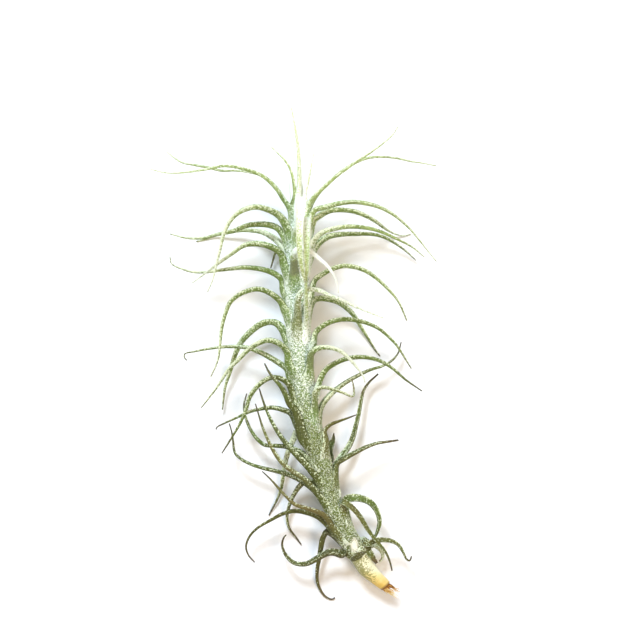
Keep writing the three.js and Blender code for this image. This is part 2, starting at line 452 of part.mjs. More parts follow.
// Torn strands that fan out of the stem's foot. Each is [sideways, upwards, length] of its free end.
const strands = [
  [-0.9, 0.3, 2.4],
  [-0.5, -0.5, 2.9],
  [-0.1, 0.6, 3.4],
  [0.2, -0.2, 3.7],
  [0.5, 0.5, 3.4],
  [0.8, -0.4, 3],
  [1.1, 0.2, 2.4],
  [-0.2, -0.8, 2.5],
];
const strandRadius = 0.34;
const collarLength = 0.9;

function fibreTuft() {
  const end = stemAt(bareFoot);
  const down = end.along.clone().negate();
  const base = end.middle.clone().addScaledVector(down, seatGap);
  const ring = (centre, radius, sides) =>
    Array.from({ length: sides }, (_, k) => {
      const angle = (-2 * Math.PI * k) / sides;
      return centre
        .clone()
        .addScaledVector(end.up, radius * Math.cos(angle))
        .addScaledVector(end.right, radius * Math.sin(angle));
    });
  const collar = loft([
    ring(base, 1.25, 10),
    ring(base.clone().addScaledVector(down, 0.6 * collarLength), 1.15, 10),
    ring(base.clone().addScaledVector(down, collarLength), 0.8, 10),
  ]);
  const pieces = strands.map(([sideways, upwards, length]) => {
    const foot = base
      .clone()
      .addScaledVector(down, 0.3)
      .addScaledVector(end.right, 0.55 * sideways)
      .addScaledVector(end.up, 0.55 * upwards);
    const bend = foot
      .clone()
      .addScaledVector(down, 0.55 * length)
      .addScaledVector(end.right, 0.35 * sideways)
      .addScaledVector(end.up, 0.3 * upwards);
    const tip = foot
      .clone()
      .addScaledVector(down, length)
      .addScaledVector(end.right, 0.9 * sideways)
      .addScaledVector(end.up, 0.5 * upwards - 0.4);
    return loft([
      ring(foot, strandRadius, 4),
      ring(bend, 0.9 * strandRadius, 4),
      ring(tip, 0.6 * strandRadius, 4),
    ]);
  });
  return wasm.Manifold.union([collar, ...pieces].map(solidOf));
}

const group = new THREE.Group();
function addPiece(name, solid, color, roughness) {
  const mesh = new THREE.Mesh(
    geometryOf(solid),
    new THREE.MeshStandardMaterial({ color, roughness, metalness: 0, flatShading: true }),
  );
  mesh.name = name;
  group.add(mesh);
}

addPiece("leafy_stem", leafyStem, "#9fb083", 0.85);
addPiece("bare_stem_end", bareStem, "#d9b45a", 0.7);
addPiece("frayed_fibres", fibreTuft(), "#b98a5c", 0.9);

export default group;
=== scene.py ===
# A small caulescent air plant, lying on its side on a white table and seen from straight above.
# The dictionaries give lengths in millimetres. Blender's own unit is the metre.
import math
import random

import bpy
import numpy as np
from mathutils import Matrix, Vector


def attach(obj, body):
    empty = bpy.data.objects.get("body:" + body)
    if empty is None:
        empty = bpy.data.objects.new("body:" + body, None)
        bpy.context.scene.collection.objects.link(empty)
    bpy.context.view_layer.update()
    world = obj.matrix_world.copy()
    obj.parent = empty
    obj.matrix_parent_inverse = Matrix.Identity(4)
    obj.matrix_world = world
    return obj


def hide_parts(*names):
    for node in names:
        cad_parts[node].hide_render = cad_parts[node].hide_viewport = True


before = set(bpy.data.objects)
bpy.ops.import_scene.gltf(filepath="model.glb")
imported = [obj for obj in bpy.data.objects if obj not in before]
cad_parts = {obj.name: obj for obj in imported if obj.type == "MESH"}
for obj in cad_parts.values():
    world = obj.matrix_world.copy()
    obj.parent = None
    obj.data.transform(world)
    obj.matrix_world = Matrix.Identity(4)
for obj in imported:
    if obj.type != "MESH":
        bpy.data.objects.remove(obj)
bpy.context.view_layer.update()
mm = 0.001
print("frame loaded")

view = {
    "over": (5.56, 7.51),  # the point on the table under the camera
    "height": 500,
    "lens": 133.03,  # so the plant fills the height of a square picture
    "sensor": 36,
    "nearest": 10,  # nothing closer than this is drawn
}
tableGap = 0.02  # the plant's skins stay this far above the table

# The stem's middle line and its radius under the sheaths, from the torn foot to the growing tip.
stem = {
    "line": [
        (19.8, -48.7, 4.6, 1.3), (19, -47.9, 4.7, 1.5), (17.4, -46.5, 5, 1.6), (15.4, -44.5, 5.5, 1.85),
        (13.8, -41.9, 6.1, 1.95), (12.1, -38.8, 6.8, 1.9), (10.2, -35.3, 7.5, 1.85),
        (8.2, -30.4, 8.5, 1.85), (6.8, -25.2, 9.4, 1.95), (5.1, -20, 10.4, 2), (3.6, -15, 11.3, 2.15),
        (2.7, -10, 12, 2.3), (1.6, 0, 13, 2.4), (0.9, 10, 13.6, 2.5), (0.8, 18, 14, 2.45),
        (1, 25, 14.3, 2.1), (1.2, 30, 14.5, 1.4), (1.2, 34, 14.6, 0.6),
    ],
    "leafyFoot": -41.6,  # Y where the leaf sheaths end and the bare stem starts
    "bareFoot": -48.2,  # Y where the bare stem is torn off
    "samples": 900,  # points on the smoothed middle line
    "sides": 48,
    "unevenness": 0.05,
    "lumpSize": 1.5,
}

leaf = {
    "sheath": 4.6,  # from a leaf's foot to where it leaves the stem
    "sheathWidth": 4.7,
    "sheathDepth": 0.95,
    "sheathThickness": 0.42,
    "footHalf": 0.28,  # half its width at the foot, as a share of sheathWidth
    "joint": (0.2, 1.45),  # where sheath turns to blade, as shares of the sheath's length
    # three points under the sheath: share of its length, share of the stem's radius, and lift
    "seat": [(0, 0.55, 0), (0.55, 0.82, 0), (1, 1, 0.4)],
    "bladeWidth": 2.0,
    "bladeDepth": 0.8,  # keel, then margins and thickness, as shares of half the width
    "marginHeight": 0.6,
    "bladeThickness": 0.85,
    "gutter": 2.4,  # how late the section turns up towards its margins
    "wall": (0.5, 0.2),  # share of the thickness on each side of the section's line, at keel and margin
    "tipWidth": 0.3,
    "taper": 1.15,  # how long a blade keeps its width: 1 thins evenly, 3 only near the tip
    "shadeEdges": (-0.5, 0.3, -0.3, 0.4),  # where a stretch of painted shade fades in and out, from its two ends
    "rows": 56,  # along a leaf
    "sides": 16,  # round a leaf
    "pathPoints": 90,
}

# Leaves, from the tip down. foot is the Y of the stem where the sheath starts, bearing is the way that the
# leaf leaves the stem: 0 up, 90 right, 180 down, -90 left. wide is its share of bladeWidth, wrap its share
# of sheathWidth, tip its width at the tip, and route the way that the free blade takes. age goes from fresh
# yellow-green at 0 to old olive at 1, bleach adds or takes away silver scales, and tan is how far it has
# dried. Where one of them has several values, they are spread evenly from foot to tip. dark is painted shade
# on a bare stretch, where the rising base of a leaf stands in shade: how dark, and from where to where past
# the sheath. A leaf may have its own sheath or taper, and one without bleach or tan has none.
heart = [
    dict(foot=27, bearing=-10, wide=0.6, wrap=0.6, age=0.14, bleach=(0.8, 0.3, 0.1, 0.05), route=[
        (1.2, 34.4, 15.8), (1.3, 37.3, 16.5), (1.2, 40.3, 17), (1, 43.2, 17.4), (0.4, 46.9, 17.8),
        (-0.3, 50.9, 18.1)]),
    dict(foot=26.2, bearing=-60, wide=0.45, wrap=0.6, age=(0.5, 0.5, 0.4, 0.35), bleach=(0.1, -0.1, 0.2),
         tan=0.08, route=[
        (0.3, 33.1, 15.3), (0.2, 35.1, 15.5), (-0.1, 36.9, 15.6), (-0.7, 38.7, 15.7), (-1.6, 40.1, 15.8),
        (-3.1, 41.7, 15.9), (-4.7, 43.2, 16)]),
    dict(foot=26.6, bearing=70, wide=0.5, wrap=0.6, age=0.14, bleach=(0.9, 0.4, 0.2, 0.2), tan=0.1, route=[
        (2.5, 33.1, 15), (3.1, 35.9, 15.1), (3.7, 38.9, 15.1), (4.3, 41.9, 15.2)]),
    # The last two lie in the shade of the others: their bleach, rising towards their tips, is partly painted
    # light that keeps them pale there.
    dict(foot=26, bearing=-115, wide=0.5, wrap=0.6, age=(0.3, 0.05), bleach=(0.3, 1.3), route=[
        (-0.6, 32.4, 13.4), (-0.8, 35.1, 13), (-1, 37.7, 12.6)]),
    dict(foot=26, bearing=120, wide=0.5, wrap=0.6, age=(0.2, 0.1), bleach=(0.6, 1), route=[
        (1.9, 32.6, 12.9), (1.9, 34.7, 12.6), (1.6, 36.5, 12.4)]),
]

# The first two arch high over the stem; the peaks of their bleach at the crests are partly painted highlight
# where the crests catch the light.
frontLeaves = [
    dict(foot=20, bearing=-8, wide=0.85, wrap=0.6, taper=3.5, age=(0.45, 0.2, 0.22, 0.3, 0.38),
         bleach=(-0.15, 0.1, 1.2, 1.05, 0.5, 0.25, 0.05, 0.05), route=[
        (1.2, 26.8, 19.6), (1.4, 29.6, 22.6), (1.5, 31.6, 25.4), (1.5, 32, 28), (1.5, 30.4, 30.5),
        (1.5, 27.6, 31.9), (1.4, 24.1, 32.3), (1.5, 20.9, 31.6), (1.9, 18.1, 30.2), (2.3, 16.3, 29),
        (2.6, 15, 28)]),
    dict(foot=17, bearing=22, wide=0.85, wrap=0.7, taper=3.5, age=(0.45, 0.3, 0.28, 0.34, 0.4),
         bleach=(0, 0.3, 0.9, 1, 0.55, 0.2, 0, -0.1), route=[
        (2.9, 23.2, 19.4), (3, 25.7, 22), (3.1, 27.6, 24.2), (3.1, 28, 26.4), (3, 26.4, 28.3),
        (3, 23.5, 29.4), (3, 20.4, 29.2), (3, 17.9, 28.3), (2.9, 16.3, 27.4), (2.8, 14.9, 26.4)]),
    dict(foot=12, bearing=-12, wide=(0.85, 0.9, 0.8), wrap=0.9, dark=(0.95, 0.9, 5.2),
         age=(0.45, 0.45, 0.4, 0.2, 0.1, 0.1, 0.1), bleach=(-0.1, -0.1, 0, 0.8, 1.3, 1.3, 1.3), route=[
        (0.2, 18.7, 18.8), (0.2, 20.4, 21), (0.9, 21.5, 22.6), (2.4, 22, 23.7), (4, 21, 24),
        (5.5, 19.7, 23.8), (6.8, 18.6, 23.3), (7.9, 17.2, 22.4), (8.7, 15.7, 21.3), (9.3, 13.1, 19.9)]),
    dict(foot=2.5, bearing=-5, wide=(0.95, 0.8, 0.6, 0.5), dark=(0.35, -0.4, 6.2), age=(0.5, 0.5, 0.4),
         bleach=(0.2, 0.15, 0.45, 0.5, 0.45, 0.35), tan=(0.25, 0.2, 0, 0, 0), route=[
        (1, 8.6, 17.4), (1, 11, 19.2), (1.6, 12.8, 20.4), (2.7, 13.6, 20.9), (4.3, 13.6, 21),
        (5.7, 13.3, 20.8), (7.5, 12.4, 20.2), (9.6, 11.7, 19.4), (11.9, 10.6, 18.4), (15.2, 9.2, 17.2),
        (18.4, 7.9, 16.2)]),
    dict(foot=1.6, bearing=30, wide=0.55, wrap=0.7, age=0.34, bleach=(0.6, 0.4, 0.1, 0, 0.2), route=[
        (2.8, 8.1, 17.8), (2.8, 10.5, 20), (2.8, 12.9, 22), (2.8, 15.3, 23.4), (2.9, 18.3, 24.4),
        (3, 21.2, 24.9), (3, 24.1, 24.9)]),
    dict(foot=-8, bearing=35, wide=(1, 0.85, 0.7), wrap=0.85, dark=(0.5, 1.8, 6), age=0.55,
         bleach=(0.45, 0.2, 0, 0.15, 0.5, 0.6, 0.8), tan=(0, 0, 0, 0.1, 0.1), route=[
        (3.7, -1, 16.4), (3.9, 0.6, 17.6), (4.9, 1.6, 18.4), (6.1, 1.9, 18.8), (7.4, 1.9, 18.9),
        (8.7, 1.6, 18.7), (10.2, 0.8, 18.2), (11.8, -0.7, 17.2), (13.3, -2.5, 16.1), (14.3, -3.9, 15.2),
        (14.8, -5.3, 14.4)]),
    dict(foot=-15.5, bearing=40, wide=(0.9, 0.75, 0.6), wrap=0.85, dark=(0.3, 0.5, 3), age=0.55,
         bleach=(-0.1, 0.1, 0.2, 0.1, -0.1), tan=(0, 0, 0.2, 0.3, 0.7), route=[
        (4.6, -8.4, 15.6), (4.7, -7.1, 16.8), (5.5, -6.3, 17.5), (6.6, -6.2, 17.8), (8.2, -6.6, 17.6),
        (10.2, -7.3, 17), (12.4, -8.1, 16.4), (12.5, -6.4, 16.1), (12.1, -4.6, 16)]),
]

leftLeaves = [
    dict(foot=25.5, bearing=-70, wide=0.62, wrap=0.6, age=(0.45, 0.42, 0.36), bleach=(0, 0, 0.1), route=[
        (-1.8, 32, 15.6), (-3.4, 34.4, 16.6), (-6, 36.8, 17.3), (-9.4, 38.2, 17.4), (-13.9, 39, 16.6),
        (-18.3, 38.3, 15.2), (-22.8, 37.8, 13.8), (-26.1, 37.8, 13.1), (-29.4, 38.6, 13.1)]),
    dict(foot=24.5, bearing=-115, wide=(0.45, 0.22, 0.22, 0.48, 0.45), wrap=0.6, taper=3,
         age=(0.4, 0.4, 0.45, 0.45, 0.4), bleach=(0.3, 0.4, 0.3, -0.2, -0.1, 0.2), route=[
        (-1.7, 31.6, 12.3), (-3.1, 34.5, 12.5), (-5.9, 36.9, 12.4), (-9.4, 38, 11.9), (-12.2, 38.4, 11.2),
        (-14.8, 38.4, 10.5), (-17.6, 39.1, 9.8), (-20.7, 39.7, 9.3), (-23.3, 40.3, 8.9),
        (-26.4, 42.5, 8.8)]),
    dict(foot=21, bearing=-58, wide=1, wrap=0.8, age=0.47, bleach=(0.1, 0, 0.3, 0.5), route=[
        (-2.7, 28.7, 17.6), (-5, 30, 19.4), (-7.3, 30.5, 20.4), (-9.6, 30, 20.7), (-11.7, 28.8, 20.4),
        (-13.2, 26.9, 19.8), (-14.2, 24.5, 19), (-14.9, 21.6, 18), (-15.7, 18.6, 17), (-16.4, 15.8, 16),
        (-17.5, 13.3, 15)]),
    dict(foot=19.5, bearing=-95, wide=0.95, age=(0.46, 0.52, 0.5), bleach=(0.1, -0.1, 0.05, 0.1), route=[
        (-3.1, 26.4, 14), (-5.1, 27.1, 14.3), (-7.5, 27.2, 14.2), (-9.8, 26.9, 13.7), (-12.4, 25.9, 12.8),
        (-15.8, 25.2, 11.6), (-18.6, 24.5, 10.6), (-22.1, 24.5, 9.6), (-25.6, 25.4, 8.8)]),
    dict(foot=16.5, bearing=-130, wide=1, age=0.5, bleach=(0.5, 0.4, 0, 0.05), route=[
        (-2.9, 23.5, 9.6), (-4.6, 24.9, 8.2), (-6.5, 25.9, 7), (-9, 26.3, 5.4), (-11.3, 26.3, 3.8),
        (-14, 25.8, 2.4), (-16.6, 25.3, 1), (-18.5, 24.6, 0.4), (-20.6, 24.1, 0.3)]),
    dict(foot=14.3, bearing=-75, wide=1, age=(0.56, 0.5), bleach=(-0.05, -0.1, 0.3, 0.6), route=[
        (-2.4, 21.1, 15.5), (-3.8, 22.2, 16.5), (-5.8, 22.9, 17.2), (-8.1, 23.1, 17.2), (-10.2, 22.7, 16.6),
        (-12.3, 21.3, 15.4), (-14.7, 19.7, 13.8), (-17.7, 17.5, 11.7), (-20.9, 15.2, 9.8)]),
    dict(foot=11.5, bearing=-155, wide=0.6, age=0.8, tan=0.2, route=[
        (-0.9, 18.3, 8.6), (-1.9, 20.4, 6.8), (-3, 21.5, 5.2), (-3.8, 21.5, 3.8), (-4.2, 20.3, 2.8),
        (-4.8, 18.4, 1.9)]),
    dict(foot=9.3, bearing=-100, wide=0.85, age=0.55, bleach=(0, -0.3, 0.25, 0.15), route=[
        (-2.4, 15.9, 12.8), (-4.1, 17.2, 12.9), (-6.5, 18, 12.6), (-10.1, 18.4, 11.7), (-12.4, 18.2, 11),
        (-14.9, 17.9, 10.2), (-17.8, 17.5, 9.4), (-20.9, 17.5, 8.8), (-23.3, 18.2, 8.5), (-25.3, 19.2, 8.4),
        (-25.6, 20.6, 8.6)]),
    dict(foot=5.3, bearing=-70, wide=0.9, age=0.55, bleach=(0, -0.05, 0.1, 0.4), route=[
        (-2.4, 11.1, 15), (-3.5, 12.3, 16), (-5.2, 13.4, 16.8), (-7.2, 13.9, 17.1), (-9.3, 13.5, 17),
        (-11.2, 12.6, 16.7), (-12.8, 11.2, 16.1), (-13.8, 8.9, 15.3), (-14.6, 6, 14.3), (-15, 2.6, 13.1),
        (-15.5, -0.7, 12), (-17, -4.2, 10.9)]),
    dict(foot=-0.8, bearing=-112, wide=1.05, age=0.57, bleach=(-0.15, 0.05, 0.05, 0.2), route=[
        (-2.5, 5.9, 10.9), (-3.7, 7, 10.4), (-5.1, 7.2, 9.8), (-7.1, 6.4, 8.6), (-9.2, 4.7, 7.3),
        (-10.9, 2.8, 6.1), (-12, 0.6, 5), (-13.3, -3.5, 3.7), (-14.3, -6.5, 2.7), (-15, -11.4, 1.6)]),
    dict(foot=-5.8, bearing=-72, wide=0.95, age=(0.62, 0.56), bleach=(-0.2, 0.1, 0.35, 0.2), route=[
        (-1.2, 0.9, 14), (-2.3, 2.4, 14.9), (-3.8, 3.2, 15.3), (-5.4, 3.4, 15.3), (-7.3, 2.7, 14.9),
        (-9.1, 1.5, 14.3), (-11.3, -0.7, 13.2), (-13.3, -2.7, 12.1), (-15.7, -6.3, 10.4),
        (-17.2, -8.3, 9.4), (-19.1, -10.7, 8.4)]),
    dict(foot=-8.8, bearing=-105, wide=0.85, age=(0.64, 0.6, 0.58), bleach=(-0.3, 0.1, 0.05, -0.2), route=[
        (-1.4, -2.5, 11.2), (-2.9, -1.4, 11.2), (-5.4, 0.1, 10.9), (-7.7, 1.2, 10.4), (-10.1, 1.9, 9.8),
        (-13.7, 2, 9), (-17.3, 1.6, 8.3), (-20.9, 0.9, 7.7), (-22.6, 0.5, 7.4), (-22.8, -0.1, 7.3),
        (-22.2, -0.9, 7.2)]),
    dict(foot=-13.5, bearing=-72, wide=0.85, age=(0.8, 0.85, 0.7, 0.66, 0.7),
         bleach=(0.2, 0.05, 0.1, 0, -0.2), route=[
        (-0.5, -6.5, 13.8), (-1.4, -5.1, 14.4), (-2.9, -4.3, 14.7), (-4.6, -4.3, 14.7), (-6.3, -5.2, 14.3),
        (-7.8, -6.7, 13.5), (-8.9, -8.4, 12.5), (-9.8, -11.3, 11.1), (-11.3, -14.5, 9.5), (-13, -17.3, 8),
        (-14.9, -20.3, 6.4)]),
    dict(foot=-18.5, bearing=-100, wide=0.85, age=(0.8, 0.85, 0.74, 0.72), bleach=(0.2, 0.02, 0, -0.1),
         route=[
        (-0.5, -11.8, 10.9), (-2, -11.1, 10.6), (-4.3, -10.6, 10), (-6.8, -10.9, 9.3), (-9.3, -11.6, 8.6),
        (-12, -12.9, 7.9), (-14.8, -14.2, 7.3), (-15.9, -14.8, 7), (-16.1, -15.3, 6.9)]),
    dict(foot=-20.5, bearing=-55, wide=1.45, wrap=0.7, tip=0.3, taper=0.85, age=(0.85, 0.95, 0.9, 0.8),
         bleach=(0.1, -0.15, -0.15, -0.1), route=[
        (0.4, -11.2, 14), (-0.8, -9.6, 15), (-1.6, -7.7, 15.8), (-2.5, -6.1, 16.4), (-3.8, -4.6, 17),
        (-4.9, -3.1, 17.3), (-5.8, -1.3, 17.4)]),
    dict(foot=-24.8, bearing=-98, wide=0.8, age=(0.82, 0.8, 0.74), bleach=(0.15, 0, -0.25, 0.1), route=[
        (0.5, -19.4, 9), (-1.3, -18.8, 8.5), (-3.9, -18.6, 7.8), (-6, -18.5, 7.1), (-7.7, -17.2, 6.5),
        (-9, -15.3, 5.9), (-9.9, -13.2, 5.4), (-10.4, -10.4, 4.9), (-9.8, -7.9, 4.6)]),
    dict(foot=-29, bearing=-55, wide=0.9, wrap=0.7, age=(0.8, 0.9, 0.88, 0.78), bleach=(0.2, 0, 0, 0, -0.2),
         route=[
        (2.9, -22.7, 12), (0.9, -20.6, 12.5), (-1.1, -18.4, 12.5), (-2.8, -16.2, 12.4), (-4.3, -13.7, 12.2),
        (-5.4, -11.4, 12), (-6.2, -9.2, 12), (-7, -6.6, 12.2)]),
    dict(foot=-33.5, bearing=-58, wide=0.85, wrap=0.7, age=(0.8, 0.88, 0.85, 0.8),
         bleach=(0.2, 0, 0, -0.1, -0.15), tan=(0, 0, 0.3, 0.3, 0), route=[
        (3.9, -27.1, 11.6), (2.1, -25.2, 12), (0, -23.8, 12.1), (-2, -22.3, 12), (-3.6, -20.3, 11.8),
        (-5.2, -17.3, 11.5), (-6.3, -14.7, 11.3), (-7.2, -11.8, 11.3), (-7.8, -9.8, 11.4)]),
    dict(foot=-33, bearing=-100, wide=0.8, age=(0.86, 0.84, 0.8), bleach=(0.15, 0, -0.1, -0.2), route=[
        (3.3, -27, 8.6), (1.1, -25.6, 8.4), (-1.5, -24.5, 8.1), (-3.8, -23.9, 7.7), (-6.5, -23.3, 7.3),
        (-8.8, -22.6, 6.9), (-10.8, -21.6, 6.5), (-12.2, -20.3, 6.3), (-12.6, -17.9, 6.1),
        (-12.9, -15.8, 6.1), (-13.4, -14.1, 6.2)]),
    dict(foot=-21.5, bearing=-145, wide=0.85, age=(0.7, 0.7, 0.92), bleach=(0.45, 0.5, -0.2), tan=0.1,
         route=[
        (1.1, -15.5, 7.6), (0.5, -16.6, 6.2), (-0.5, -18.7, 5), (-1.4, -21.4, 4), (-2, -24.7, 2.9),
        (-2.6, -28.1, 1.9), (-3.6, -30.7, 1.1), (-4.6, -32.6, 0.5), (-5.2, -33.8, 0.3)]),
    dict(foot=-32.5, bearing=-140, wide=0.9, age=(0.9, 0.85, 0.92), bleach=(0.05, 0.05, -0.1), tan=0.15,
         route=[
        (3.6, -26.6, 6), (2.3, -26.4, 5.3), (1.1, -27.5, 4.6), (0.1, -29, 4), (-0.9, -31.3, 3.3),
        (-1.4, -34, 2.4), (-0.9, -36.4, 1.5), (0.4, -38.2, 0.8), (1.6, -39.9, 0.4)]),
    dict(foot=-39.5, bearing=-62, wide=0.85, wrap=0.7, age=0.86, bleach=(0.3, -0.25, -0.3, -0.2),
         tan=(0, 0.2, 0.45, 0.4, 0.1), route=[
        (6.5, -33.1, 10), (5, -32.2, 10.6), (2.7, -31.4, 11.1), (0.4, -30.6, 11.3), (-1.4, -29, 11.2),
        (-3, -27.3, 11), (-4.5, -25.6, 10.8), (-6.4, -23.8, 10.6)]),
    dict(foot=-40, bearing=-88, wide=0.85, age=(0.8, 0.95, 0.95), bleach=(0.4, -0.3, -0.2, -0.4), tan=0.1,
         route=[
        (6.6, -34.6, 7.8), (5.1, -33.4, 7.9), (3, -32.6, 7.9), (0.2, -32.2, 7.8), (-2.2, -32.8, 7.5),
        (-4.8, -34.2, 7), (-7.4, -35.8, 6.4), (-9.1, -37.6, 5.8), (-9.9, -39.8, 5.3), (-9.4, -41.7, 5),
        (-8.1, -43.2, 4.8)]),
    dict(foot=-41.2, bearing=-125, wide=1, sheath=3, age=1, bleach=(-0.2, -0.3, -0.1), tan=(0.1, 0.1, 0.35),
         route=[
        (8, -37.1, 6.6), (6.9, -36.8, 6.1), (6.2, -37.8, 5.6), (5.8, -39.7, 4.8), (5.4, -42.3, 3.8),
        (5, -44.8, 2.7), (5, -47.4, 1.6), (5.7, -49.5, 0.8), (6.9, -51, 0.4), (8.2, -51.5, 0.3),
        (8.7, -51.1, 0.4)]),
    dict(foot=-41.2, bearing=-88, wide=1.05, sheath=1.4, age=0.94, bleach=(0, -0.2, 0), tan=0.1, route=[
        (10.1, -41.4, 7.4), (8.5, -40.9, 7.6), (6.9, -41.1, 7.6), (4.8, -42.3, 7.4), (2.5, -43.4, 7),
        (0.1, -43.2, 6.5), (-1.7, -41.5, 6), (-2.4, -39.4, 5.7), (-2, -37.9, 5.6), (-1.5, -37.4, 5.6)]),
]

